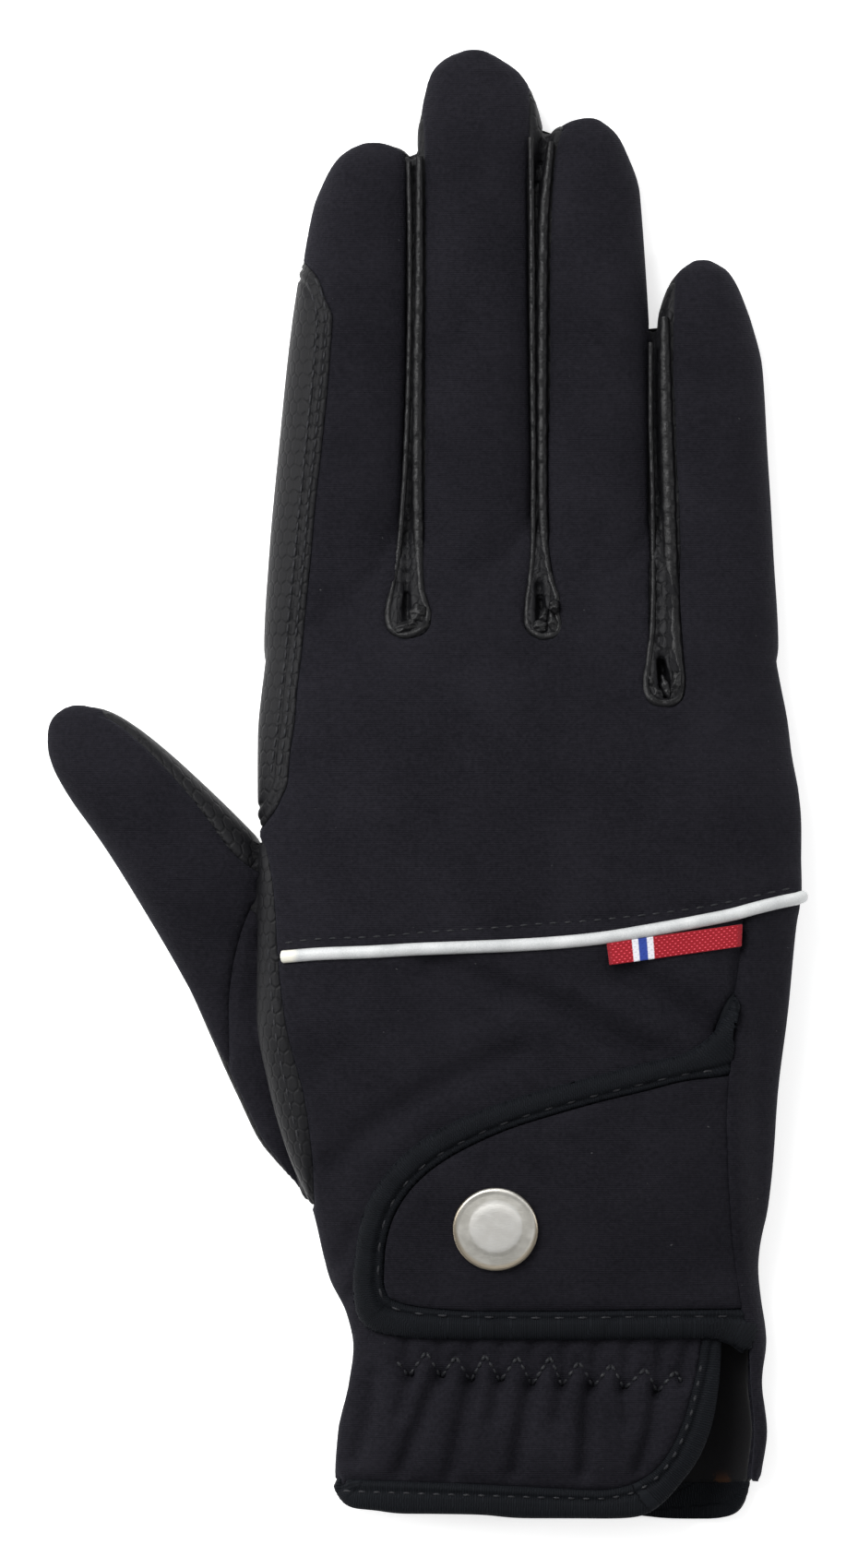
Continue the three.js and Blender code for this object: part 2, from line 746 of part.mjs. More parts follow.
// A leather band along the thumb's side of the glove, from one share of hemToKnuckles to another: its
// inner edge, and the same line run out past the glove at both ends
function edgeBand(rows, from, to, width) {
  const edge = rows.map((row) => {
    const y = THREE.MathUtils.lerp(from, to, row.along) * hemToKnuckles;
    return new THREE.Vector2(thumbSideEdge(y) + row.wide * width, y);
  });
  const start = new THREE.Vector2(edge[0].x - width, edge[0].y);
  const end = new THREE.Vector2(edge.at(-1).x - width, edge.at(-1).y);
  return { edge, line: [start, ...edge, end] };
}

function outside(edge, distance) {
  return edge.map((p) => new THREE.Vector2(thumbSideEdge(p.y) - distance, p.y)).reverse();
}

const patchBand = edgeBand(patchRows, patchLow, patchHigh, patchWidth);
patchBand.line.at(-1).y += patchWidth;
const patchArea = prism([...patchBand.edge, ...outside(patchBand.edge, leatherWall)], seamHeight);
const patchHole = prism([
  ...patchBand.line.slice(1),
  ...outside(patchBand.edge, 2 * leatherWall),
], seamHeight);
const patchCut = seamCut(patchBand.line);

const trimBand = edgeBand(trimRows, 0, 1, trimWidth);
const trimArea = prism([...trimBand.edge, ...outside(trimBand.edge, seamGap)]);
const trimCut = seamCut(trimBand.line);

const pipingPlan = onHand(pipingLine);
const pipingCut = seamCut(pipingPlan, 2 * (pipingRadius + seamGap));
const abovePiping = areaAbove(pipingPlan);
const sideLine = onHand(sidePanelEdge);
const sideArea = areaRight(sideLine);
const sideCut = seamCut(sideLine);
const ventLine = onHand(ventEdge);
const ventSide = sideLine.slice(2);
const ventGap = prism([...ventLine, ...ventSide.slice().reverse()], seamHeight);
const belowHem = block({ end: 0 });
const hemBandArea = block({ end: hemBand });
const hemLine = hemBand + seamGap / 2;
const hemCut = seamCut([new THREE.Vector2(-far, hemLine), new THREE.Vector2(far, hemLine)]);
const ventBandLine = onHand(ventBandEdge);
const ventBandUp = ventBandLine.slice().reverse();
const ventBandArea = prism([
  ...ventLine.slice(0, -1),
  new THREE.Vector2(ventLine.at(-2).x - ventBandFoot, hemBand / 2),
  ...ventBandUp,
], seamHeight);
const bindingCut = seamCut([
  new THREE.Vector2(-far, hemLine),
  new THREE.Vector2(ventBandUp[0].x - ventBandFoot / 2, hemLine),
  ...ventBandUp,
  new THREE.Vector2(ventSide[0].x + clothWall, ventBandLine[0].y + slotWidth),
]);

// Cloth back, cut by its seams
const upperCuts = join([thumbCut, trimCut, patchCut, ...gapParts.map((gap) => gap.cut)]);
const back = shell.intersect(upperHalf).subtract(upperCuts).subtract(thumbArea).subtract(trimArea)
  .subtract(patchHole);
const gapAreas = join(gapParts.map((gap) => gap.area));
const backUpper = back.subtract(gapAreas).subtract(pipingCut).intersect(abovePiping);
const backBelow = back.subtract(pipingCut).subtract(abovePiping).subtract(hemCut).subtract(hemBandArea);
const backLower = backBelow.subtract(sideCut).subtract(sideArea).subtract(ventGap).subtract(bindingCut)
  .subtract(ventBandArea);

// A layer between two heights over the back of the hand
function layer(low, high, area) {
  return handLoft(high, handTurns).subtract(handLoft(low, handTurns)).intersect(area);
}

// Cloth of the outer edge, with a rolled hem that stands up beside the vent
const ventHemInner = offsetLine(ventSide, -ventHemWidth).reverse();
const ventHemArea = prism([...ventSide, ...ventHemInner], seamHeight + seamGap)
  .subtract(hemBandArea).subtract(hemCut);
const sidePanel = backBelow.intersect(sideArea).subtract(sideCut)
  .add(layer(-seamGap, ventHemProud, ventHemArea));

// Leather pieces
const patch = join([handLoft(patchProud, handTurns), fingerLoft('index', patchProud, digitTurns)])
  .subtract(hollow).intersect(patchArea).intersect(upperHalf).subtract(patchCut);
const trim = shell.intersect(upperHalf).intersect(trimArea).subtract(trimCut).subtract(thumbCut);
const fourchettes = gapParts.map((gap) => {
  return shell.intersect(upperHalf).intersect(gap.area).subtract(gap.cut);
});
const palm = shell.intersect(lowerHalf).subtract(thumbCut).subtract(thumbArea).subtract(hemBandArea)
  .subtract(hemCut);

// Thumb pieces
const stripLine = onThumb(thumbStripSeam);
const stripArea = placeThumb(areaRight(stripLine));
const gussetLine = onThumb(thumbGussetSeam);
const gussetArea = placeThumb(prism([
  ...gussetLine,
  new THREE.Vector2(gussetLine.at(-1).x, -far),
  new THREE.Vector2(gussetLine[0].x, -far),
]));
const thumbShell = shell.intersect(thumbArea).subtract(thumbCut);
const stripCut = placeThumb(seamCut(stripLine));
const gussetCut = placeThumb(seamCut(gussetLine));
const thumbUpper = thumbShell.intersect(upperHalf).subtract(gussetCut);
const thumbGusset = thumbUpper.intersect(gussetArea);
const thumbCover = thumbUpper.subtract(gussetArea).subtract(stripCut);
const thumbBack = thumbCover.subtract(stripArea);

// The thumb's leather front turns up over its inner side without a seam
const turnUp = block({ bottom: seamHeight - seamGap, top: seamHeight + seamGap });
const thumbPalm = thumbShell.intersect(lowerHalf)
  .add(thumbCover.intersect(stripArea))
  .add(thumbShell.intersect(turnUp).intersect(stripArea).subtract(stripCut).subtract(gussetArea)
    .subtract(gussetCut));

// Binding of the hem, which turns up along the vent
const bindingLoft = handLoft(bindingProud, handTurns)
  .subtract(handLoft(bindingProud - bindingWall, handTurns));
const cuffBinding = bindingLoft.intersect(hemBandArea).subtract(belowHem).subtract(ventGap)
  .add(bindingLoft.intersect(ventBandArea).subtract(belowHem));

// Wrist flap with its bound edge
const flapPoints = onHand([flapTopCorner, ...flapEdge, flapLowCorner]);
const flapRight = offsetLine(sideLine, -2 * seamGap)
  .filter((p) => p.y < flapPoints[0].y && p.y > flapPoints.at(-1).y).reverse();
const flapArea = prism([...flapPoints, ...flapRight], 0);
const flapInner = offsetLine(flapPoints, flapBindingWidth);
const flapCoreLine = [
  new THREE.Vector2(flapInner[0].x + flapBindingWidth, flapInner[0].y + slotWidth),
  ...flapInner,
  new THREE.Vector2(flapInner.at(-1).x + flapBindingWidth, flapInner.at(-1).y),
];
const flapSplit = seamCut(flapCoreLine);
const flapCore = prism(flapCoreLine, 0);
const buttonAt = onHand([buttonPlace])[0];

// Direction that the back of the hand faces at a place
function surfaceTilt(x, y) {
  const reach = buttonDiameter / 5;
  const across = (backHeight(x + reach, y, 0) - backHeight(x - reach, y, 0)) / (2 * reach);
  const along = (backHeight(x, y + reach, 0) - backHeight(x, y - reach, 0)) / (2 * reach);
  return new THREE.Vector3(-across, -along, 1).normalize();
}

// Parts that stand on the flap are turned on a lathe and tilted with the surface
function standOn(profile, sides, height) {
  const geometry = new THREE.LatheGeometry(profile, sides);
  geometry.rotateX(Math.PI / 2);
  const up = new THREE.Vector3(0, 0, 1);
  const tilt = surfaceTilt(buttonAt.x, buttonAt.y);
  geometry.applyQuaternion(new THREE.Quaternion().setFromUnitVectors(up, tilt));
  geometry.translate(buttonAt.x, buttonAt.y, backHeight(buttonAt.x, buttonAt.y, 0) + height);
  return toSolid(geometry);
}

const capSeat = flapThick + seamGap * 2;
const capRadius = buttonDiameter / 2;
const capRows = capProfile.map((p) => new THREE.Vector2(p.out * capRadius, capSeat + p.up * buttonHeight));
const postRadius = postDiameter / 2;
const button = standOn([
  new THREE.Vector2(0, seamGap - flapLift),
  new THREE.Vector2(postRadius, seamGap - flapLift),
  new THREE.Vector2(postRadius, capSeat),
  ...capRows,
], capSides, flapLift);
const postHole = standOn([
  new THREE.Vector2(0, -postHoleHeight / 2),
  new THREE.Vector2(postRadius + seamGap, -postHoleHeight / 2),
  new THREE.Vector2(postRadius + seamGap, postHoleHeight / 2),
  new THREE.Vector2(0, postHoleHeight / 2),
], postHoleSides, flapLift);

const flap = layer(flapLift, flapLift + flapThick, flapArea).intersect(flapCore).subtract(flapSplit)
  .subtract(postHole);
const flapBinding = layer(flapLift, flapLift + flapBindingThick, flapArea).subtract(flapCore)
  .subtract(flapSplit);

// Woven tab under the piping, laid on the cloth
const tab = layer(seamGap, seamGap + tabThick, prism(onHand(tabOutline), 0));

// Piping: a cord in its slot, which starts at the trim and runs over the outer edge of the hand. Its
// points lie closer where the hand turns down.
function pipingPath() {
  const trimShare = readTable(trimRows, pipingLine[1].along, 'wide');
  const start = thumbSideEdge(pipingPlan[1].y) + trimShare * trimWidth + seamGap * 2 + pipingRadius;
  const points = [];
  const edge = handEdge(pipingPlan.at(-3).y, 'right') - pipingRadius;
  for (let i = 0; i <= pipingSteps; i += 1) {
    const x = start + (edge - start) * Math.sin((i / pipingSteps) * Math.PI / 2);
    const next = pipingPlan.findIndex((p) => p.x > x);
    const a = pipingPlan[next - 1];
    const b = pipingPlan[next];
    const y = a.y + (b.y - a.y) * (x - a.x) / (b.x - a.x);
    points.push(new THREE.Vector3(x, y, backHeight(x, y, 0) - seamGap));
  }
  return new THREE.CatmullRomCurve3(points);
}

const pipingRing = new THREE.Shape(turns(pipingTurns).map((angle) => {
  return new THREE.Vector2(Math.cos(angle), Math.sin(angle)).multiplyScalar(pipingRadius);
}));
const piping = toSolid(new THREE.ExtrudeGeometry(pipingRing, {
  steps: pipingSteps,
  extrudePath: pipingPath(),
  bevelEnabled: false,
}));

// Each piece becomes a named mesh. Specks that a cut leaves beside the piece are dropped.
const glove = new THREE.Group();

function addPiece(name, solid, material) {
  const bodies = solid.decompose();
  const main = bodies.reduce((largest, body) => (body.volume() > largest.volume() ? body : largest));
  const mesh = main.getMesh();
  const geometry = new THREE.BufferGeometry();
  geometry.setAttribute('position', new THREE.BufferAttribute(new Float32Array(mesh.vertProperties), 3));
  geometry.setIndex(new THREE.BufferAttribute(new Uint32Array(mesh.triVerts), 1));
  geometry.computeVertexNormals();
  const piece = new THREE.Mesh(geometry, material);
  piece.name = name;
  glove.add(piece);
}

addPiece('back_upper', backUpper, cloth);
addPiece('back_lower', backLower, cloth);
addPiece('side_panel', sidePanel, cloth);
addPiece('palm', palm, leather);
addPiece('fourchette_index_middle', fourchettes[0], leather);
addPiece('fourchette_middle_ring', fourchettes[1], leather);
addPiece('fourchette_ring_little', fourchettes[2], leather);
addPiece('index_patch', patch, leather);
addPiece('thumb_trim', trim, leather);
addPiece('thumb_back', thumbBack, cloth);
addPiece('thumb_gusset', thumbGusset, cloth);
addPiece('thumb_palm', thumbPalm, leather);
addPiece('cuff_binding', cuffBinding, elastic);
addPiece('closure_flap', flap, cloth);
addPiece('flap_binding', flapBinding, elastic);
addPiece('snap_button', button, nickel);
addPiece('piping', piping, reflective);
addPiece('woven_tab', tab, redWeave);

const box = new THREE.Box3().setFromObject(glove);
glove.position.set(-(box.min.x + box.max.x) / 2, -(box.min.y + box.max.y) / 2, -box.min.z);

export default glove;
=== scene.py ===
# %% [markdown]
# # A riding glove, dressed around its frame
# The frame holds every piece of the glove at its real size, as plain solids. In this lesson each of them
# gets the surface of the real thing: stretch cloth, embossed leather, ribbed elastic, reflective piping,
# a woven tab and a metal snap. The frame is loaded first and never moved.

# %% Load the frame
import math

import bpy
import numpy as np
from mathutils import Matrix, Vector
from mathutils.bvhtree import BVHTree
from mathutils.kdtree import KDTree


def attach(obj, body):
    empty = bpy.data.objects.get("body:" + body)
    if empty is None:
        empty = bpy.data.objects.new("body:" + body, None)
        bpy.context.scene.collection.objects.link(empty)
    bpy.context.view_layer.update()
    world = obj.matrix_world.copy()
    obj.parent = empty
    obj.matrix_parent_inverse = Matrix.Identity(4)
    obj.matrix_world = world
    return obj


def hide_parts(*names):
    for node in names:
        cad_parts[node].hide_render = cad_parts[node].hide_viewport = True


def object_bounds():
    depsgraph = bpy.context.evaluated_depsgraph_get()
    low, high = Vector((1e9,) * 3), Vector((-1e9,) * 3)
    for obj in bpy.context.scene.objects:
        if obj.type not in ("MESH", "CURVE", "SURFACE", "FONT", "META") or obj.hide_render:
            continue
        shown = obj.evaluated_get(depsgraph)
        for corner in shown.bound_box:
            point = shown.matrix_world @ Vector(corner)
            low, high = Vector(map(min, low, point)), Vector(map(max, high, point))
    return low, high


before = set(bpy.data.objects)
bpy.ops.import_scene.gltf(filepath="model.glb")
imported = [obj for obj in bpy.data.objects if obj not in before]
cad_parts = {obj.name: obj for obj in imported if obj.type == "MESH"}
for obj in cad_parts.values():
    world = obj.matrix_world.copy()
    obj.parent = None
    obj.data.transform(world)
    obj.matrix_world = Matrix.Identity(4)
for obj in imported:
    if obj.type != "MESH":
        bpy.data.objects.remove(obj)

frame_low, frame_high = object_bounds()
print("frame, in millimetres:", [round(side * 1000, 1) for side in frame_high - frame_low])

# %% [markdown]
# ## Reading places off the photograph
# The photograph looks straight down on the glove, so a pixel is a place on the table. The outline of the
# glove touches a left, a right and a top pixel line, and the frame's box gives the same lines in metres.
# A place read off the photograph is turned into metres with those, and stays tied to the frame.

# %% Pixels to metres
photo_left, photo_right, photo_top = 53.5, 873.0, 53.0
photo_wide, photo_high = 930, 1700
pixel = (frame_high.x - frame_low.x) / (photo_right - photo_left)
mm = 0.001


def across(px):
    return frame_low.x + (np.asarray(px, float) - photo_left) * pixel


def along(py):
    return frame_high.y - (np.asarray(py, float) - photo_top) * pixel


def pixel_line(y):
    """The photograph's pixel line that a place lies on."""
    return (frame_high.y - y) / pixel + photo_top


def plan(points):
    """Pixel pairs as an array of places on the table."""
    points = np.asarray(points, float)
    return np.column_stack([across(points[:, 0]), along(points[:, 1])])


print("one pixel is", round(pixel * 1000, 4), "mm")

# %% [markdown]
# ## Curves through a few measured rows
# Edges of soft things are smooth between the places where they were measured. A cubic curve whose slope
# is zero wherever the measured values turn round never swings past them, so a finger doesn't bulge where
# none was measured. Lines in the plan are rounded the same way, by their length.

# %% Smooth curves
def curve_through(stops, values, where):
    stops, values, where = (np.asarray(x, float) for x in (stops, values, where))
    run = np.diff(stops)
    rise = np.diff(values) / run
    inner = np.where(rise[:-1] * rise[1:] > 0, 2 * rise[:-1] * rise[1:] / (rise[:-1] + rise[1:] + 1e-30), 0)
    slope = np.concatenate([rise[:1], inner, rise[-1:]])
    i = np.clip(np.searchsorted(stops, where) - 1, 0, len(stops) - 2)
    t = np.clip((where - stops[i]) / run[i], 0, 1)
    start = (1 + 2 * t) * (1 - t) ** 2 * values[i] + t * (1 - t) ** 2 * run[i] * slope[i]
    end = t * t * (3 - 2 * t) * values[i + 1] - t * t * (1 - t) * run[i] * slope[i + 1]
    return start + end


def lengths_along(points):
    return np.concatenate([[0], np.cumsum(np.linalg.norm(np.diff(points, axis=0), axis=1))])


def rounded(points, step=0.4 * mm):
    """A smooth plan line through some points, with a point every step."""
    points = np.asarray(points, float)
    reach = lengths_along(points)
    where = np.linspace(0, reach[-1], max(int(reach[-1] / step), 2))
    return np.column_stack([curve_through(reach, points[:, k], where) for k in range(points.shape[1])])


def smoothstep(low, high, value):
    t = np.clip((value - low) / (high - low), 0, 1)
    return t * t * (3 - 2 * t)


def bell(value, width):
    return np.exp(-(np.asarray(value) / width) ** 2)


# %% [markdown]
# ## Camera, table and light
# The photograph was taken from straight above with a long lens. The table is plain and pale. Black cloth
# shows its shape only by what it reflects, so soft strips stand to the left, to the right and at the far
# end, below two broad lights overhead.

# %% Camera
glove_middle = Vector((float(across(photo_wide / 2)), float(along(photo_high / 2)), 0.0085))
camera_height = 2.2
camera_data = bpy.data.cameras.new("camera")
camera_data.sensor_width = 36
camera_data.lens = camera_data.sensor_width * camera_height / (photo_high * pixel)
camera_data.clip_end = 20
camera = bpy.data.objects.new("camera", camera_data)
camera.location = glove_middle + Vector((0, 0, camera_height))
bpy.context.scene.collection.objects.link(camera)
bpy.context.scene.camera = camera
bpy.context.scene.view_settings.view_transform = "Standard"
print("lens", round(camera_data.lens), "mm at", camera_height, "m")


# %% Lights
def soft_light(name, place, size, power):
    data = bpy.data.lights.new(name, "AREA")
    data.shape = "RECTANGLE"
    data.size, data.size_y = size
    data.energy = power
    light = bpy.data.objects.new(name, data)
    light.location = place
    light.rotation_euler = (glove_middle - Vector(place)).to_track_quat("-Z", "Y").to_euler()
    bpy.context.scene.collection.objects.link(light)


soft_light("overhead", (-0.5, 0.55, 1.0), (0.6, 0.6), 11.5)
soft_light("top_panel", (0.0, 0.0, 2.6), (2.0, 2.0), 8)
soft_light("left_strip", (-1.0, 0.1, 0.42), (0.25, 1.4), 6)
soft_light("right_strip", (1.0, -0.1, 0.4), (0.2, 1.2), 3)
soft_light("far_strip", (0.1, 1.1, 0.4), (1.2, 0.2), 4)

world = bpy.data.worlds.new("studio")
bpy.context.scene.world = world
world.use_nodes = True
world.node_tree.nodes["Background"].inputs["Color"].default_value = (1, 1, 1, 1)
world.node_tree.nodes["Background"].inputs["Strength"].default_value = 0.24
print("lights:", len(bpy.data.lights))


# %% [markdown]
# ## Shader maths as plain expressions
# A material is a little calculation that is done for every point of a surface. Written as Python, it can
# be read: each wrapped value knows the node tree it belongs to, and a plus sign adds a Math node.

# %% A value in a material
class Value:
    def __init__(self, tree, socket):
        self.tree, self.socket = tree, socket

    def node(self, kind, settings, sockets, output=0):
        """Any node: its settings come first, then the values or links of its sockets."""
        made = self.tree.nodes.new(kind)
        for key, setting in settings.items():
            setattr(made, key, setting)
        for key, value in sockets.items():
            if isinstance(value, Value):
                self.tree.links.new(value.socket, made.inputs[key])
            else:
                made.inputs[key].default_value = value
        return Value(self.tree, made.outputs[output])

    def maths(self, operation, other=0.0):
        return self.node("ShaderNodeMath", {"operation": operation}, {0: self, 1: other})

    def __add__(self, other):
        return self.maths("ADD", other)

    __radd__ = __add__

    def __mul__(self, other):
        return self.maths("MULTIPLY", other)

    __rmul__ = __mul__

    def __sub__(self, other):
        return self.maths("SUBTRACT", other)

    def __rsub__(self, other):
        return self.node("ShaderNodeMath", {"operation": "SUBTRACT"}, {0: other, 1: self})

    def __truediv__(self, other):
        return self.maths("DIVIDE", other)

    def sin(self):
        return self.maths("SINE")

    def abs(self):
        return self.maths("ABSOLUTE")

    def floor(self):
        return self.maths("FLOOR")

    def wrap(self, period):
        return self.maths("FLOORED_MODULO", period)

    def larger(self, other):
        return self.maths("MAXIMUM", other)

    def between(self, low, high):
        """0 below low, 1 above high and smooth in between."""
        settings = {"interpolation_type": "SMOOTHSTEP"}
        return self.node("ShaderNodeMapRange", settings, {"Value": self, "From Min": low, "From Max": high})

    def blend(self, first, second):
        """One colour where this value is 0 and another where it is 1."""
        colours = {"data_type": "RGBA"}
        first = (*first, 1) if isinstance(first, tuple) else first
        second = (*second, 1) if isinstance(second, tuple) else second
        return self.node("ShaderNodeMix", colours, {0: self, 6: first, 7: second}, 2)


class Finish:
    """A material under construction, with the places that its patterns are read from."""

    def __init__(self, name, **constants):
        self.material = bpy.data.materials.new(name)
        self.material.use_nodes = True
        self.tree = self.material.node_tree
        self.shader = self.tree.nodes["Principled BSDF"]
        for key, value in constants.items():
            self.shader.inputs[key.replace("_", " ")].default_value = value
        self.seed = Value(self.tree, None)
        self.place = self.seed.node("ShaderNodeTexCoord", {}, {}, "Object")
        self.x, self.y = self.split(self.place)
        self.u, self.v = self.split(self.seed.node("ShaderNodeTexCoord", {}, {}, "UV"))

    def split(self, vector):
        return [self.seed.node("ShaderNodeSeparateXYZ", {}, {0: vector}, k) for k in range(2)]

    def noise(self, size, detail=2.0, vector=None):
        """Cloudy noise from 0 to 1 whose blots are about this size in metres."""
        sockets = {"Vector": vector or self.place, "Scale": 1 / size, "Detail": detail}
        return self.seed.node("ShaderNodeTexNoise", {}, sockets)

    def wear(self, colour=None, roughness=None, bump=None, depth=0.0001, strength=1.0):
        """Connects what changes over the surface."""
        if colour is not None:
            self.tree.links.new(colour.socket, self.shader.inputs["Base Color"])
        if roughness is not None:
            self.tree.links.new(roughness.socket, self.shader.inputs["Roughness"])
        if bump is not None:
            sockets = {"Height": bump, "Distance": depth, "Strength": strength}
            normal = self.seed.node("ShaderNodeBump", {}, sockets)
            self.tree.links.new(normal.socket, self.shader.inputs["Normal"])
        return self.material


turn = 2 * math.pi

# %% [markdown]
# ## Stretch cloth
# The back of the glove is a fine knit: courses of loops about a third of a millimetre apart, so small
# that they show as a soft grain. It could be an image, but then it would blur close up. Two crossed waves
# on the object's own coordinates give the loops, large soft noise the slight unevenness of dyed cloth,
# and rare bright specks the lint that black cloth always carries.


# %% Cloth
def make_cloth():
    cloth = Finish("cloth", Sheen_Weight=0.035, Sheen_Roughness=0.4, Specular_IOR_Level=0.07)
    cloth.shader.inputs["Sheen Tint"].default_value = (0.75, 0.78, 1, 1)
    course, wale = 0.34 * mm, 0.3 * mm
    drift = cloth.noise(6 * mm, 2)
    loops = (cloth.y * (turn / course) + drift * 5).sin() * (cloth.x * (turn / wale)).sin().abs()
    clouds = cloth.noise(14 * mm, 3)
    fuzz = cloth.noise(0.62 * mm, 4)
    lint = cloth.noise(0.9 * mm, 1).between(0.80, 0.86)
    tone = clouds * 0.35 + fuzz * 0.5 + loops * 0.1
    colour = lint.blend(tone.between(0.1, 0.8).blend((0.0045, 0.0043, 0.0064), (0.0205, 0.0195, 0.0252)),
                        (0.07, 0.07, 0.075))
    return cloth.wear(colour, 0.82 + clouds * 0.14, loops * 0.4 + fuzz * 1.6, 0.1 * mm, 0.9)


# %% [markdown]
# ## Embossed leather
# Palm, fingers' sides and patches are a thin synthetic leather, pressed with small six-sided cells for
# grip. Cells of a honeycomb are found with arithmetic: the nearer of two interlaced grids of centres.
# The pattern follows each piece's own UV map, so it doesn't stretch on steep sides. Where the leather is
# rolled over a cord it has creases in place of cells.

# %% Leather
cell_width = 2.6 * mm


def honeycomb(finish, width):
    """Distance from the nearest cell wall, from 0 at the wall to about 0.5 at the cell's centre."""
    x, y = finish.u / width, finish.v / width
    tall = math.sqrt(3)
    first = (x.wrap(1) - 0.5, y.wrap(tall) - tall / 2)
    second = ((x - 0.5).wrap(1) - 0.5, (y - tall / 2).wrap(tall) - tall / 2)

    def wall(cell):
        flat, slant = cell[0].abs(), cell[0].abs() * 0.5 + cell[1].abs() * (tall / 2)
        return flat.larger(slant)

    return 0.5 - wall(first).maths("MINIMUM", wall(second))


def make_leather():
    leather = Finish("leather", Specular_IOR_Level=0.17)
    cells = honeycomb(leather, cell_width).between(0.01, 0.16)
    pores = leather.noise(0.35 * mm, 3)
    clouds = leather.noise(9 * mm, 3)
    tone = cells * 0.35 + clouds * 0.5 + pores * 0.15
    colour = tone.blend((0.0042, 0.0042, 0.005), (0.0105, 0.0105, 0.0122))
    return leather.wear(colour, 0.40 + clouds * 0.16 + pores * 0.1, cells + pores * 0.4, 0.13 * mm, 0.6)


def make_rolled_leather():
    """The same leather where it is turned over a cord: its cells are stretched flat, its creases stay."""
    leather = Finish("rolled_leather", Specular_IOR_Level=0.3)
    creases = leather.noise(1.6 * mm, 3)
    pores = leather.noise(0.4 * mm, 3)
    colour = creases.blend((0.0035, 0.0035, 0.004), (0.008, 0.008, 0.0092))
    return leather.wear(colour, 0.36 + pores * 0.12, creases + pores * 0.2, 0.3 * mm, 0.8)


# %% [markdown]
# ## Ribbed elastic
# The wrist's hem and the flap are bound with a folded elastic tape, whose fine ribs lie across it. Their
# pitch is read along the tape, which is why the bindings carry their length in their UV map.


# %% Elastic
def make_elastic():
    elastic = Finish("elastic", Sheen_Weight=0.02, Sheen_Roughness=0.4, Specular_IOR_Level=0.07)
    elastic.shader.inputs["Sheen Tint"].default_value = (0.7, 0.78, 1, 1)
    rib = 0.43 * mm
    ribs = (elastic.u * (turn / rib)).sin() * 0.5 + 0.5
    yarn = elastic.noise(0.3 * mm, 3)
    clouds = elastic.noise(8 * mm, 2)
    colour = (ribs * 0.6 + yarn * 0.4).blend((0.003, 0.0035, 0.0046), (0.0098, 0.0112, 0.014))
    return elastic.wear(colour, 0.62 + clouds * 0.2, ribs + yarn * 0.5, 0.09 * mm, 0.9)


# %% [markdown]
# ## Trims: thread, piping, tab and snap
# Thread is a smooth twisted yarn. The piping is a cord wrapped in reflective tape: a grey that looks
# grainy because it is covered in tiny glass beads, yellowed a little where it was cut. The tab is a red
# tape with a dotted weave and one plain stripe. The snap is brushed nickel, tarnished in blots, with a
# ring that is left without marks.


# %% Trims
def make_thread():
    thread = Finish("thread", Specular_IOR_Level=0.35)
    twist = (thread.noise(0.25 * mm, 2)).between(0.35, 0.65)
    return thread.wear(twist.blend((0.007, 0.007, 0.009), (0.016, 0.017, 0.021)), 0.45 + twist * 0.2,
                       twist, 0.05 * mm, 0.6)


def make_reflective():
    tape = Finish("reflective", Specular_IOR_Level=0.5)
    beads = tape.noise(0.22 * mm, 2)
    clouds = tape.noise(5 * mm, 3)
    cut = (tape.x - float(across(312))).abs().between(0.5 * mm, 2.2 * mm)
    grey = (clouds * 0.6 + beads * 0.4).between(0.25, 0.75).blend((0.44, 0.455, 0.46), (0.69, 0.70, 0.70))
    return tape.wear(cut.blend((0.80, 0.78, 0.68), grey), 0.42 + clouds * 0.2, beads, 0.05 * mm, 0.5)


def make_red_weave():
    weave = Finish("red_weave", Specular_IOR_Level=0.3, Sheen_Weight=0.1)
    pitch = 0.95 * mm
    row = (weave.v / (pitch * 0.5)).floor()
    shifted = weave.u / pitch + row.wrap(2) * 0.5
    dot_x, dot_y = shifted.wrap(1) - 0.5, (weave.v / (pitch * 0.5)).wrap(1) - 0.5
    dots = 1 - (dot_x * dot_x * 1.1 + dot_y * dot_y * 0.9).between(0.015, 0.06)
    red = dots.blend((0.30, 0.002, 0.010), (0.85, 0.09, 0.13))
    stripe_middle = 6.2 * mm
    beside = (weave.u - stripe_middle).abs()
    white = 1 - beside.between(1.75 * mm, 1.95 * mm)
    blue = 1 - beside.between(0.65 * mm, 0.85 * mm)
    ends = (weave.u - 11.6 * mm).abs().between(10.9 * mm, 11.3 * mm)
    striped = blue.blend(white.blend(red, (0.75, 0.75, 0.80)), (0.02, 0.05, 0.30))
    return weave.wear(ends.blend(striped, (0.25, 0.004, 0.012)), 0.7 + dots * 0.1, dots, 0.1 * mm, 0.8)


snap_middle = plan([(537, 1327)])[0]


def make_nickel():
    nickel = Finish("nickel", Metallic=1.0)
    brushed = nickel.seed.node("ShaderNodeMapping", {}, {"Vector": nickel.place, "Scale": (1, 9, 1)})
    hairs = nickel.noise(1.1 * mm, 5, brushed)
    blots = nickel.noise(2.3 * mm, 4).between(0.36, 0.72)
    out_x, out_y = nickel.x - float(snap_middle[0]), nickel.y - float(snap_middle[1])
    out = (out_x * out_x + out_y * out_y).maths("SQRT")
    ring = out.between(4.3 * mm, 4.8 * mm)
    rim = out.between(6.5 * mm, 7.1 * mm)
    face = (blots * 0.6 + hairs * 0.4).blend((0.90, 0.88, 0.83), (1.0, 0.99, 0.95))
    worn = (blots * 0.5 + hairs * 0.5).blend((0.62, 0.60, 0.54), (0.94, 0.92, 0.86))
    colour = rim.blend(ring.blend(face, worn), (0.46, 0.40, 0.31))
    return nickel.wear(colour, 0.36 + hairs * 0.18 - rim * 0.08, hairs + blots * 0.5, 0.04 * mm, 0.5)


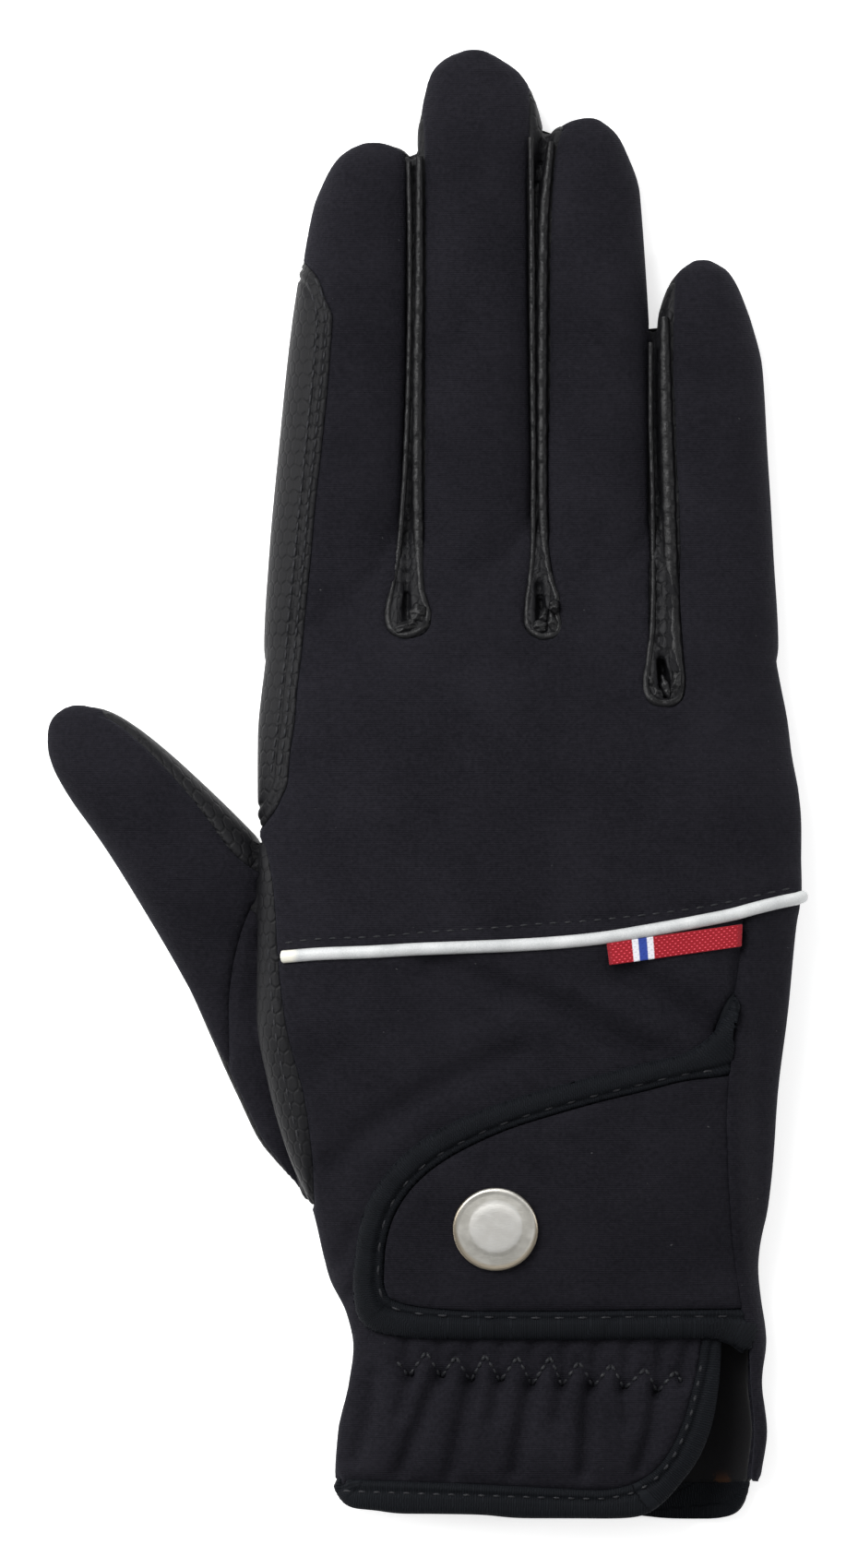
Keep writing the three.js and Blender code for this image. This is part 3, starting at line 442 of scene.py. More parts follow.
def make_suede():
    suede = Finish("suede", Specular_IOR_Level=0.2, Sheen_Weight=0.2)
    nap = suede.noise(0.4 * mm, 4)
    ragged = suede.x + (nap - 0.5) * (3 * mm)
    brown = 1 - (ragged - float(across(784))).abs().between(0.9 * mm, 1.3 * mm)
    brown = brown * (1 - suede.y.between(float(along(1612)), float(along(1594))))
    dark = nap.blend((0.006, 0.006, 0.007), (0.014, 0.0135, 0.015))
    return suede.wear(brown.blend(dark, (0.07, 0.030, 0.014)), 0.9 + nap * 0.1, nap, 0.1 * mm, 0.7)


finishes = {
    "cloth": make_cloth(),
    "leather": make_leather(),
    "rolled_leather": make_rolled_leather(),
    "elastic": make_elastic(),
    "thread": make_thread(),
    "reflective": make_reflective(),
    "red_weave": make_red_weave(),
    "nickel": make_nickel(),
    "suede": make_suede(),
}
print("finishes:", ", ".join(finishes))

# %% [markdown]
# ## The filled form
# Under its seams a worn glove is one soft body: a flat hand, four fingers and a thumb. Each is a ball
# that is stretched through a few measured sections. A section is a rounded rectangle whose underside is
# flat on the table. Widths come from the photograph and heights from the frame.

# %% Balls stretched through sections
roundness = 2.4
rest_dip = 2.0
widest_share = 0.42
# Each row is a pixel line, its left and right pixel, then the lowest, highest and widest height in mm.
hand_rows = [
    (1662, 364, 818, 0, 13.8, 5.8),
    (1600, 363, 820, 0, 14.4, 6.0),
    (1553, 366, 826, 0, 14.8, 6.2),
    (1500, 378, 820, 0, 14.7, 6.2),
    (1460, 383, 821, 0, 14.5, 6.1),
    (1425, 376, 819, 0, 14.7, 6.2),
    (1385, 357, 817, 0, 15.6, 7.0),
    (1310, 338, 832, 0, 18.2, 9.4),
    (1250, 312, 839, 0, 19.8, 10.6),
    (1180, 292, 844, 0, 21.4, 11.5),
    (1100, 279, 853, 0, 22.5, 12.1),
    (1000, 280, 863, 0, 23.0, 12.4),
    (970, 281, 868, 0, 23.0, 12.4),
    (900, 282.5, 868, 0, 22.5, 11.2),
    (800, 282, 857, 0, 20.9, 8.8),
    (714, 289, 842, 0, 18.6, 7.8),
    (640, 296, 834, 2.3, 15.6, 7.6),
    (580, 304, 827, 4.6, 12.2, 7.4),
    (545, 311, 819, 5.5, 9.2, 7.3),
]
finger_heights = [
    (-0.15, 2.9, 10.9),
    (0, 0, 14.2),
    (0.2, 0, 14.5),
    (0.5, 0, 14.1),
    (0.75, 0, 13.5),
    (0.88, 0, 12.5),
    (0.94, 0.5, 11.2),
    (0.975, 1.7, 9.6),
    (1, 4.0, 7.3),
]
knuckles = 700
finger_edges = {
    "index": [(782, 308, 419), (700, 287, 441), (600, 293, 441), (400, 313, 447), (230, 338, 449),
              (200, 349, 449.5), (173, 364, 448), (160, 380, 434), (154, 395, 414)],
    "middle": [(797, 461, 567), (700, 441, 586), (600, 441, 583), (400, 447, 583), (200, 450, 581),
               (150, 452, 590), (110, 459, 582), (80, 467, 566), (62, 484, 542), (53, 505, 524)],
    "ring": [(786, 605, 694), (700, 587, 711), (600, 583, 711), (400, 583, 706), (210, 582, 695),
             (160, 588, 678), (143, 596, 668), (132, 612, 655), (127, 630, 646)],
    "little": [(763, 730, 826), (700, 712, 845), (600, 711, 839), (500, 708, 833), (400, 706, 827),
               (350, 711, 815), (330, 716, 808), (310, 723, 800), (293, 735, 789), (281, 752, 770)],
}
thumb_rows = [
    (0, -21.6, 8.8, 3.5, 8.4),
    (11.6, -21.6, 11.2, 1.1, 9.0),
    (22.1, -19.4, 12.8, 0, 9.8),
    (32.3, -16.6, 13.1, 0, 10.5),
    (42.4, -13.8, 12.8, 0, 12.0),
    (55.5, -11.3, 12.1, 0, 14.0),
    (72.1, -9.1, 10.4, 0, 13.3),
    (80.0, -8.6, 9.1, 0, 12.3),
    (85.0, -7.9, 7.8, 0.3, 11.2),
    (88.6, -6.7, 6.2, 1.2, 10.0),
    (91.2, -4.9, 4.2, 2.4, 8.7),
    (92.8, -3.0, 2.3, 3.6, 7.4),
    (93.4, -1.5, 0.9, 4.6, 6.4),
]
thumb_root = plan([(438, 1218.5)])[0]
thumb_turn = math.radians(39.8)


def read_points(thing):
    flat = np.empty(len(thing.data.vertices) * 3)
    thing.data.vertices.foreach_get("co", flat)
    return flat.reshape(-1, 3)


def write_points(thing, points):
    thing.data.vertices.foreach_set("co", np.asarray(points, float).ravel())
    thing.data.update()


def only(thing):
    """Selects this one thing, because an operator acts on all that is selected."""
    bpy.ops.object.select_all(action="DESELECT")
    thing.select_set(True)
    bpy.context.view_layer.objects.active = thing


def face_outwards(thing):
    only(thing)
    bpy.ops.object.mode_set(mode="EDIT")
    bpy.ops.mesh.select_all(action="SELECT")
    bpy.ops.mesh.normals_make_consistent(inside=False)
    bpy.ops.object.mode_set(mode="OBJECT")


def joined(things):
    """Makes one object of several and returns it."""
    only(things[0])
    for thing in things:
        thing.select_set(True)
    bpy.ops.object.join()
    return bpy.context.object


def stretched_ball(name, sections, segments, rings, dip=rest_dip * mm):
    """A ball whose rings become sections. sections holds y, left, right, low, high and side in metres."""
    bpy.ops.object.select_all(action="DESELECT")
    bpy.ops.mesh.primitive_uv_sphere_add(segments=segments, ring_count=rings, radius=1)
    ball = bpy.context.object
    ball.name = name
    points = read_points(ball)
    rows = np.asarray(sections, float)
    rows = rows[np.argsort(rows[:, 0])]
    y = rows[0, 0] + (rows[-1, 0] - rows[0, 0]) * (1 + points[:, 2]) / 2
    left, right, low, high, side = (curve_through(rows[:, 0], rows[:, k], y) for k in range(1, 6))
    angle = np.arctan2(points[:, 1], points[:, 0])
    c, s = np.cos(angle), np.sin(angle)
    pole = np.abs(points[:, 2]) > 1 - 1e-6
    out = np.where(pole, 0, np.sign(c) * np.abs(c) ** (2 / roundness))
    up = np.where(pole, 0, np.sign(s) * np.abs(s) ** (2 / roundness))
    reach = np.where(up > 0, high - side, side - low + np.where(low < 0.1 * mm, dip, 0))
    x, z = (left + right) / 2 + out * (right - left) / 2, np.maximum(side + up * reach, 0)
    write_points(ball, np.column_stack([x, y, z]))
    face_outwards(ball)
    return ball


def finger_sections(name):
    edges = finger_edges[name]
    tip = edges[-1][0]
    share_stops, lows, highs = zip(*finger_heights)
    sections = []
    for py, left, right in edges:
        share = (knuckles - py) / (knuckles - tip)
        low, high = (float(np.interp(share, share_stops, side)) * mm for side in (lows, highs))
        sections.append((float(along(py)), float(across(left)), float(across(right)), low, high,
                         low + widest_share * (high - low)))
    return sections


hand_sections = [(float(along(y)), float(across(left)), float(across(right)), low * mm, high * mm, side * mm)
                 for y, left, right, low, high, side in hand_rows]
hand = stretched_ball("hand", hand_sections, 160, 200)
digits = {name: stretched_ball(name, finger_sections(name), 72, 110) for name in finger_edges}
thumb = stretched_ball("thumb", [(y * mm, left * mm, right * mm, low * mm, high * mm,
                                  (low + widest_share * (high - low)) * mm)
                                 for y, left, right, low, high in thumb_rows], 80, 110)
turned = read_points(thumb)
cosine, sine = math.cos(thumb_turn), math.sin(thumb_turn)
write_points(thumb, np.column_stack([thumb_root[0] + turned[:, 0] * cosine - turned[:, 1] * sine,
                                     thumb_root[1] + turned[:, 0] * sine + turned[:, 1] * cosine,
                                     turned[:, 2]]))
print("hand, fingers and thumb:", len(digits) + 2, "forms")

# %% [markdown]
# ## Gaps between the fingers
# A gap is a narrow slot that opens into a small trough at its closed end, where the leather turns round.
# Each is one more stretched ball, taken away from every form that it touches, so it is carved and not
# painted.

# %% Slots
gap_lines = {
    "index_middle": [(692, 441), (650, 441), (600, 441), (500, 444), (400, 447), (300, 449), (165, 450),
                     (110, 450)],
    "middle_ring": [(692, 588), (650, 585), (600, 583), (400, 583), (300, 580), (200, 580), (147, 592),
                    (90, 600)],
    "ring_little": [(761, 722), (720, 716), (680, 711), (600, 711), (500, 708), (400, 706), (363, 709),
                    (310, 712)],
}
trough_rows = [(0, 0.3), (0.04, 0.7), (0.12, 1.1), (0.3, 1.25), (0.6, 0.8), (1, 0.48), (9, 0.45)]
trough_run = 12 * mm
web_run = 34 * mm
gap_surface = 18.2 * mm


def slot_sections(line, surface):
    ends, middles = np.asarray(line, float).T
    start, stop = float(along(ends[0])), float(along(ends[-1]))
    sections = []
    for y in [*(start + trough_run * np.array([0, 0.04, 0.12, 0.3, 0.6, 1])),
              *np.linspace(start + trough_run * 1.4, stop, 9)]:
        middle = float(across(np.interp(-float(pixel_line(y)), -ends, middles)))
        half = float(np.interp((y - start) / trough_run, *zip(*trough_rows))) * mm
        low = surface - 1.3 * mm - min((y - start) / web_run, 1) * (surface + 6 * mm)
        sections.append((y, middle - half, middle + half, low, 60 * mm, low + 8 * mm))
    return sections


def carve(thing, tool):
    only(thing)
    bpy.ops.object.modifier_add(type="BOOLEAN")
    cut = thing.modifiers[-1]
    cut.operation, cut.object, cut.solver = "DIFFERENCE", tool, "EXACT"
    bpy.ops.object.modifier_apply(modifier=cut.name)


def raised_ball(name, sections):
    """A slot's tool may reach below the table, so it is lifted while it is stretched."""
    lift = 40 * mm
    raised = [(y, left, right, low + lift, high + lift, side + lift)
              for y, left, right, low, high, side in sections]
    ball = stretched_ball(name, raised, 32, 90, dip=0)
    write_points(ball, read_points(ball) - np.array([0, 0, lift]))
    return ball


for gap, line in gap_lines.items():
    tool = raised_ball("slot_" + gap, slot_sections(line, gap_surface))
    for thing in [hand, *[digits[name] for name in gap.split("_")]]:
        carve(thing, tool)
    bpy.data.objects.remove(tool)
print("gaps carved:", ", ".join(gap_lines))

# %% [markdown]
# ## One skin
# The overlapping forms are fused by a voxel remesh into one even skin of small squares. Its corners are
# then smoothed a little, which also rounds the places where fingers grow out of the hand.

# %% Fuse and smooth
grain_size = 0.7 * mm
smooth_rounds, smooth_in, smooth_out = 9, 0.5, 0.51


def neighbours_mean(points, edges, count):
    total = np.zeros_like(points)
    np.add.at(total, edges[:, 0], points[edges[:, 1]])
    np.add.at(total, edges[:, 1], points[edges[:, 0]])
    return total / np.maximum(count, 1)[:, None]


def edge_count(edges, size):
    return np.bincount(edges.ravel(), minlength=size)


form = joined([hand, thumb, *digits.values()])
form.data.remesh_voxel_size = grain_size
form.data.remesh_voxel_adaptivity = 0
bpy.ops.object.voxel_remesh()
skin_points = read_points(form)
skin_edges = np.empty(len(form.data.edges) * 2, int)
form.data.edges.foreach_get("vertices", skin_edges)
skin_edges = skin_edges.reshape(-1, 2)
skin_count = edge_count(skin_edges, len(skin_points))
for step in range(smooth_rounds):
    skin_points += smooth_in * (neighbours_mean(skin_points, skin_edges, skin_count) - skin_points)
    skin_points -= smooth_out * (neighbours_mean(skin_points, skin_edges, skin_count) - skin_points)
skin_points[:, 2] = np.maximum(skin_points[:, 2], 0)
write_points(form, skin_points)
skin_faces = np.empty(len(form.data.polygons) * 4, int)
form.data.polygons.foreach_get("vertices", skin_faces)
skin_faces = skin_faces.reshape(-1, 4)
form_tree = BVHTree.FromPolygons(skin_points.tolist(), skin_faces.tolist())
flat_normals = np.empty(len(skin_points) * 3)
form.data.vertices.foreach_get("normal", flat_normals)
form_normals = flat_normals.reshape(-1, 3).copy()
print("skin:", len(skin_faces), "squares")

# %% [markdown]
# ## Which piece is where
# The frame's solids already say which piece covers each place: every square of the skin is given to the
# nearest one. The wrist's end and the vent are left open. The seams between pieces are steps of squares
# at first, so their corners are evened out along the seam until they run smoothly.

# %% Give each square to a piece
panel_names = ["back_upper", "back_lower", "side_panel", "palm", "fourchette_index_middle",
               "fourchette_middle_ring", "fourchette_ring_little", "index_patch", "thumb_trim", "thumb_back",
               "thumb_gusset", "thumb_palm", "cuff_binding"]
hem_line = plan([(355, 1600), (363, 1615), (367, 1627), (376, 1634.5), (400, 1637.5), (500, 1641),
                 (620, 1645), (740, 1647.5), (790, 1647.5), (804, 1642), (811, 1628), (815, 1610)])
vent_left = plan([(797, 1077), (790, 1110), (782, 1200), (780, 1300), (781, 1400), (782, 1450), (781, 1480),
                  (777, 1515), (769, 1552), (757, 1580), (738, 1608), (715, 1631), (690, 1652)])
vent_right = plan([(797, 1077), (787, 1130), (785, 1200), (787, 1300), (792, 1370), (799, 1415), (805, 1440),
                   (810, 1470), (813, 1510), (815, 1550), (814, 1590), (812, 1625), (811, 1655)])
seam_level = 5 * mm


def inside(points, outline):
    """Which plan points lie inside a closed outline."""
    x, y = points[:, 0], points[:, 1]
    hits = np.zeros(len(points), bool)
    for (x1, y1), (x2, y2) in zip(outline, np.roll(outline, -1, axis=0)):
        crosses = (y1 > y) != (y2 > y)
        hits ^= crosses & (x < (x2 - x1) * (y - y1) / (y2 - y1 + 1e-30) + x1)
    return hits


corners, triangles, owners = [], [], []
for number, name in enumerate(panel_names):
    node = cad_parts[name]
    node_points = read_points(node)
    for triangle in node.data.polygons:
        triangles.append([len(corners) + k for k in range(3)])
        corners.extend(node_points[list(triangle.vertices)].tolist())
        owners.append(number)
frame_tree = BVHTree.FromPolygons(corners, triangles)
middles = skin_points[skin_faces].mean(axis=1)
owner = np.array([owners[frame_tree.find_nearest(middle)[2]] for middle in middles.tolist()])
hem_y = np.interp(middles[:, 0], hem_line[:, 0], hem_line[:, 1])
open_air = middles[:, 1] < hem_y
vent_outline = np.vstack([rounded(vent_left), rounded(vent_right)[::-1]])
open_air |= inside(middles, vent_outline) & (middles[:, 2] > seam_level)
owner[open_air] = -1


seam_lines = {
    "index_right": [(440, 165), (443, 200), (442, 300), (443, 400), (441, 450), (439, 500), (437, 550),
                    (433, 600), (428, 630), (421, 650), (418, 670), (422, 685), (437, 693)],
    "middle_left": [(456, 122), (458, 150), (460, 300), (458, 400), (459, 500), (457, 600), (460, 640),
                    (466, 660), (467, 675), (455, 690), (437, 693)],
    "middle_right": [(577, 93), (575, 150), (573, 200), (574, 300), (576, 400), (577, 500), (578, 550),
                     (576, 600), (571, 640), (567, 670), (570, 685), (585, 693)],
    "ring_left": [(608, 140), (602, 160), (597, 200), (596, 250), (594, 300), (594, 400), (593, 450),
                  (591, 500), (591, 550), (596, 600), (601, 630), (606, 650), (606, 670), (600, 690),
                  (585, 693)],
    "ring_right": [(706, 363), (704, 400), (704, 500), (704, 700), (699, 740), (705, 758), (720, 765)],
    "little_left": [(729, 296), (728, 350), (728, 400), (731, 450), (732, 500), (735, 550), (737, 650),
                    (740, 700), (743, 740), (741, 755), (728, 765), (720, 765)],
    "patch": [(328, 285), (335, 292), (345, 305), (352, 325), (360, 345), (358, 380), (354, 430), (348, 490),
              (341, 550), (336, 610), (331, 660), (326, 710), (321, 750), (319, 780), (314, 815), (311, 850),
              (306, 862), (300, 875), (285, 895)],
    "trim": [(281, 905), (290, 930), (297, 980), (300, 1035), (304, 1075), (309, 1110), (317, 1145),
             (327, 1180), (333, 1215), (337, 1260), (338, 1310)],
    "thumb_strip": [(100, 768), (125, 780), (150, 800), (175, 825), (200, 853), (225, 885), (250, 920),
                    (262, 932), (281, 946)],
    "gusset": [(278, 972), (262, 1010), (252, 1050), (247, 1090), (246, 1130), (244, 1165)],
    "piping": [(303, 1037), (350, 1033), (450, 1028), (550, 1024), (650, 1016), (750, 999), (820, 983),
               (872, 973)],
    "hem": [(363, 1603), (500, 1607), (600, 1612), (650, 1614), (680, 1609), (705, 1596), (725, 1572),
            (740, 1540), (750, 1505), (757, 1475), (761, 1450)],
}


def between_lines(first, second, top):
    """The outline of a leather piece between two seams that meet at its lower end."""
    return [*seam_lines[first], *seam_lines[second][::-1], *top]


leather_outlines = {
    "fourchette_index_middle": between_lines("index_right", "middle_left", [(446, 112), (436, 140)]),
    "fourchette_middle_ring": between_lines("middle_right", "ring_left", [(613, 118), (600, 100), (590, 85)]),
    "fourchette_ring_little": between_lines("ring_right", "little_left", [(733, 284), (716, 280),
                                                                          (703, 320)]),
    "index_patch": [*seam_lines["patch"], (262, 895), (270, 700), (290, 500), (300, 330), (312, 280)],
    "thumb_trim": [*seam_lines["trim"], (330, 1330), (250, 1250), (200, 1050), (270, 905)],
}


def sides_of(faces):
    """The two corners of every square's four sides, lower number first."""
    return np.sort(np.vstack([faces[:, [k, (k + 1) % 4]] for k in range(4)]), axis=1)


def shared_sides(faces):
    """Each side that two squares share: its two corners and the two squares."""
    sides = sides_of(faces)
    square = np.tile(np.arange(len(faces)), 4)
    order = np.lexsort((sides[:, 1], sides[:, 0]))
    sides, square = sides[order], square[order]
    pair = (sides[1:] == sides[:-1]).all(axis=1)
    return sides[1:][pair], square[:-1][pair], square[1:][pair]


upper_side = middles[:, 2] > seam_level
wrist_side = middles[:, 1] < np.interp(middles[:, 0], *plan(seam_lines["piping"]).T)
cloth_there = np.where(wrist_side, panel_names.index("back_lower"), panel_names.index("back_upper"))
back_panels = [panel_names.index("back_upper"), panel_names.index("back_lower")]
for name, outline in leather_outlines.items():
    number = panel_names.index(name)
    within = inside(middles, plan(outline)) & upper_side
    owner = np.where(within & np.isin(owner, back_panels), number, owner)
    owner = np.where((owner == number) & ~within & upper_side, cloth_there, owner)
side_corners, first_square, second_square = shared_sides(skin_faces)
for step in range(5):
    votes = np.zeros((len(owner), len(panel_names) + 1), int)
    np.add.at(votes, (first_square, owner[second_square] + 1), 1)
    np.add.at(votes, (second_square, owner[first_square] + 1), 1)
    lonely = votes[np.arange(len(owner)), owner + 1] <= 1
    owner = np.where(lonely, votes.argmax(axis=1) - 1, owner)
print({name: int((owner == number).sum()) for number, name in enumerate(panel_names)})


# %% Even out the seams
def search_tree(spots):
    """A search tree of places. Places of a plan line lie at height 0."""
    tree = KDTree(len(spots))
    for i, spot in enumerate(spots.tolist()):
        tree.insert(spot if len(spot) == 3 else (*spot, 0), i)
    tree.balance()
    return tree


def fall(tree, x, y):
    """What a ray from above meets: the place and its normal, or None twice."""
    return tree.ray_cast(Vector((x, y, 0.1)), Vector((0, 0, -1)))[:2]


line_reach = 1.0 * mm
side_walls_end = 5.6 * mm


def even_out(points, labels, rounds):
    seams = side_corners[labels[first_square] != labels[second_square]]
    on_seam = np.zeros(len(points), bool)
    on_seam[seams] = True
    count = edge_count(seams, len(points))
    for step in range(rounds):
        moved = neighbours_mean(points, seams, count)
        points = np.where(on_seam[:, None], points + 0.5 * (moved - points), points)
    measured = search_tree(np.vstack([rounded(plan(line), 0.2 * mm) for line in seam_lines.values()]))
    for i in np.flatnonzero(on_seam & (points[:, 2] > side_walls_end)):
        spot, index, gap = measured.find((points[i, 0], points[i, 1], 0))
        hit = fall(form_tree, spot.x, spot.y)[0]
        if gap < line_reach and hit and abs(hit.z - points[i, 2]) < 2 * mm:
            points[i] = hit
    near = on_seam.copy()
    for ring in range(3):
        near[skin_edges[near[skin_edges].any(axis=1)]] = True
    loose = near & ~on_seam
    for step in range(8):
        moved = neighbours_mean(points, skin_edges, skin_count)
        points = np.where(loose[:, None], points + 0.5 * (moved - points), points)
    normals = form_normals.copy()
    for i in np.flatnonzero(near):
        points[i], normal, square, gap = form_tree.find_nearest(points[i].tolist())
        normals[i] = form_normals[skin_faces[square]].mean(axis=0)
    return points, normals / np.linalg.norm(normals, axis=1)[:, None], on_seam


skin_points, skin_normals, on_seam = even_out(skin_points.copy(), owner, 30)
print("corners on seams:", int(on_seam.sum()))

# %% [markdown]
# ## Folds, gathers and seams
# Cloth shows how it was sewn: it dips into every seam, puffs up beside it, and gathers where elastic
# pulls it in. Each of these is a small push along the skin's normal that depends on the distance from
# seams and on the place. They are kept together here, so that pieces which meet are pushed alike.

# %% Pushes along the normal
zigzag = [(430, 1474), (443, 1492), (462, 1464), (478, 1493), (494, 1469), (510, 1497), (526, 1467),
          (542, 1497), (561, 1469), (576, 1501), (596, 1469), (609, 1502), (627, 1474), (643, 1503),
          (662, 1477), (676, 1505), (699, 1482), (712, 1509), (731, 1485), (739, 1498)]
folds = [
    ([(473, 1493), (455, 1540), (433, 1594)], -1.5, 9),
    ([(510, 1498), (498, 1550), (488, 1597)], -1.3, 9),
    ([(574, 1504), (566, 1550), (558, 1594)], -1.4, 9),
    ([(638, 1504), (634, 1550), (632, 1594)], -1.7, 8),
    ([(676, 1507), (680, 1540)], -0.9, 8),
    ([(712, 1510), (706, 1550), (692, 1592)], -1.3, 8),
    ([(405, 1490), (398, 1540), (385, 1580)], -0.8, 10),
    ([(443, 1492), (434, 1530)], -0.8, 8),
    ([(542, 1497), (534, 1536)], -0.8, 8),
    ([(609, 1502), (603, 1538)], -0.8, 8),
    (zigzag, -0.7, 5),
    ([(470, 1043), (537, 1069), (611, 1091), (651, 1118), (700, 1143)], -1.7, 16),
    ([(618, 1074), (660, 1090), (712, 1118)], 0.8, 14),
    ([(673, 1050), (718, 1072), (747, 1098), (772, 1116)], -1.8, 14),
    ([(760, 1050), (784, 1078)], 0.6, 12),
    ([(360, 1262), (422, 1209), (496, 1165), (560, 1142)], -1.1, 17),
    ([(345, 1150), (440, 1110), (540, 1092)], -0.5, 24),
    ([(803, 1000), (799, 1040), (796, 1078)], -1.0, 9),
    ([(345, 1395), (372, 1362), (386, 1330)], -0.5, 12),
    ([(352, 1425), (378, 1408), (392, 1392)], -0.5, 9),
    ([(306, 1022), (399, 1015), (470, 1009), (580, 1001), (680, 993), (780, 979), (858, 962)], -0.3, 4),
    ([(420, 715), (470, 722), (520, 712)], -0.25, 18),
    ([(590, 712), (640, 735), (690, 790)], -0.35, 20),
    ([(870, 800), (845, 850), (850, 930)], -0.3, 20),
    ([(150, 905), (180, 935), (215, 950)], -0.3, 12),
]
cuff_deeper, cuff_puff = 0.35, 0.55
folds += [([(x, y), (x + 0.3 * (x - 540) / 10, 1452)], -0.9, 7) for x, y in zigzag[1::2]]


def off_line(x, y, line):
    """Distance in the plan from a line of pixels."""
    spots = plan(line)
    nearest = np.full(np.shape(x), 1.0)
    for (x1, y1), (x2, y2) in zip(spots, spots[1:]):
        run_x, run_y = x2 - x1, y2 - y1
        share = np.clip(((x - x1) * run_x + (y - y1) * run_y) / (run_x ** 2 + run_y ** 2), 0, 1)
        nearest = np.minimum(nearest, np.hypot(x - x1 - share * run_x, y - y1 - share * run_y))
    return nearest


def folded(x, y, z):
    """Valleys and ridges of the upper side, with the cuff puffed up between its gathers."""
    push = np.zeros_like(x)
    for line, height, wide in folds:
        push += height * bell(off_line(x, y, line), wide * pixel)
    py = pixel_line(y)
    cuff = smoothstep(1440, 1500, py) * (1 - smoothstep(1585, 1606, py))
    return (push * (1 + cuff_deeper * cuff) + cuff_puff * cuff) * mm * smoothstep(6.5 * mm, 9 * mm, z)


def slack(x, y, z):
    """The slight unevenness of cloth that is filled and not stretched tight."""
    wave = np.sin(x * 95 + 1.3) * np.sin(y * 70 + x * 40) + 0.5 * np.sin(x * 210 + y * 160 + z * 90)
    return 0.12 * mm * wave


def frame_push(points):
    x, y, z = points.T
    return folded(x, y, z) + slack(x, y, z) * smoothstep(1 * mm, 4 * mm, z)


skin_push = frame_push(skin_points)
print("deepest fold", round(float(skin_push.min()) * 1000, 2), "mm")


# %% Cut a piece out of the skin
def distance_to(points, targets):
    tree = search_tree(targets)
    return np.array([tree.find(point)[2] for point in points.tolist()])


def part_of_skin(mask):
    """Points, normals, pushes and faces of the masked squares, with which points lie on the rim."""
    faces = skin_faces[mask]
    used, packed = np.unique(faces, return_inverse=True)
    packed = packed.reshape(-1, 4)
    single, counts = np.unique(sides_of(packed), axis=0, return_counts=True)
    rim = np.zeros(len(used), bool)
    rim[single[counts == 1]] = True
    return skin_points[used], skin_normals[used], skin_push[used], packed, rim


def refine(points, normals, push, faces, rim):
    """Splits every square into four, for narrow pieces with a shaped edge."""
    single, back, counts = np.unique(sides_of(faces), axis=0, return_inverse=True, return_counts=True)
    back = back.reshape(4, -1) + len(points)
    centre = np.arange(len(faces)) + len(points) + len(single)

    def split(values):
        halves = values[single].mean(axis=1)
        return np.concatenate([values, halves, values[faces].mean(axis=1)])

    quarters = np.vstack([np.column_stack([faces[:, k], back[k], centre, back[k - 1]]) for k in range(4)])
    rim = np.concatenate([rim, counts == 1, np.zeros(len(faces), bool)])
    normals = split(normals)
    normals /= np.linalg.norm(normals, axis=1)[:, None]
    return split(points), normals, split(push), quarters, rim


def grain_map(points, normals):
    """Length round the glove and length along it, so that a pattern keeps its size on steep sides."""
    return np.column_stack([points[:, 0] - np.sign(normals[:, 0]) * points[:, 2], points[:, 1]])


def lay_map(mesh, uv):
    """Gives each point its place on a pattern."""
    layer = mesh.uv_layers.active or mesh.uv_layers.new(name="Grain")
    loops = np.empty(len(mesh.loops), int)
    mesh.loops.foreach_get("vertex_index", loops)
    layer.data.foreach_set("uv", uv[loops].ravel())


def new_piece(name, points, faces, finish, uv=None, second=None):
    mesh = bpy.data.meshes.new(name)
    mesh.from_pydata(points.tolist(), [], faces)
    mesh.update()
    if uv is not None:
        lay_map(mesh, uv)
    piece = bpy.data.objects.new(name, mesh)
    bpy.context.scene.collection.objects.link(piece)
    mesh.materials.append(finishes[finish])
    if second:
        mesh.materials.append(finishes[second])
    mesh.shade_smooth()
    return piece


def walled(name, points, normals, faces, wall, finish, uv, inner_finish):
    """A closed wall: the outer skin, the same skin moved inwards, and a strip that joins their rims."""
    size = len(points)
    starts, ends = faces.ravel(), np.roll(faces, -1, axis=1).ravel()
    single = ~np.isin(starts * size + ends, ends * size + starts)
    starts, ends = starts[single], ends[single]
    strip = np.column_stack([ends, starts, starts + size, ends + size])
    inner = points - normals * wall
    inner[:, 2] = np.maximum(inner[:, 2], 0.03 * mm)
    everything = np.vstack([faces, faces[:, ::-1] + size, strip])
    piece = new_piece(name, np.vstack([points, inner]), everything.tolist(), finish, np.vstack([uv, uv]),
                      inner_finish)
    index = np.zeros(len(everything), int)
    index[len(faces):2 * len(faces)] = 1
    piece.data.polygons.foreach_set("material_index", index)
    piece.data.update()
    return piece


made = {}


def settle(piece, nodes):
    """Fastens a finished piece to the glove, hides the solids that it stands for and prints its size."""
    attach(piece, "root")
    if nodes:
        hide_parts(*nodes)
    made[piece.name] = piece
    box = [round(side * 1000) for side in piece.dimensions]
    print(piece.name, len(piece.data.polygons), "faces,", box, "mm")


# %% [markdown]
# ## Cloth and leather panels
# A panel's rim is pulled down into the seam and rises over about a millimetre, as sewn cloth does. Then
# it gets its wall, inwards, so the outer size stays. Narrow leather pieces get finer squares first, so that
# their edges can be shaped, and the patch beside the index finger has two stitched grooves along its edge.

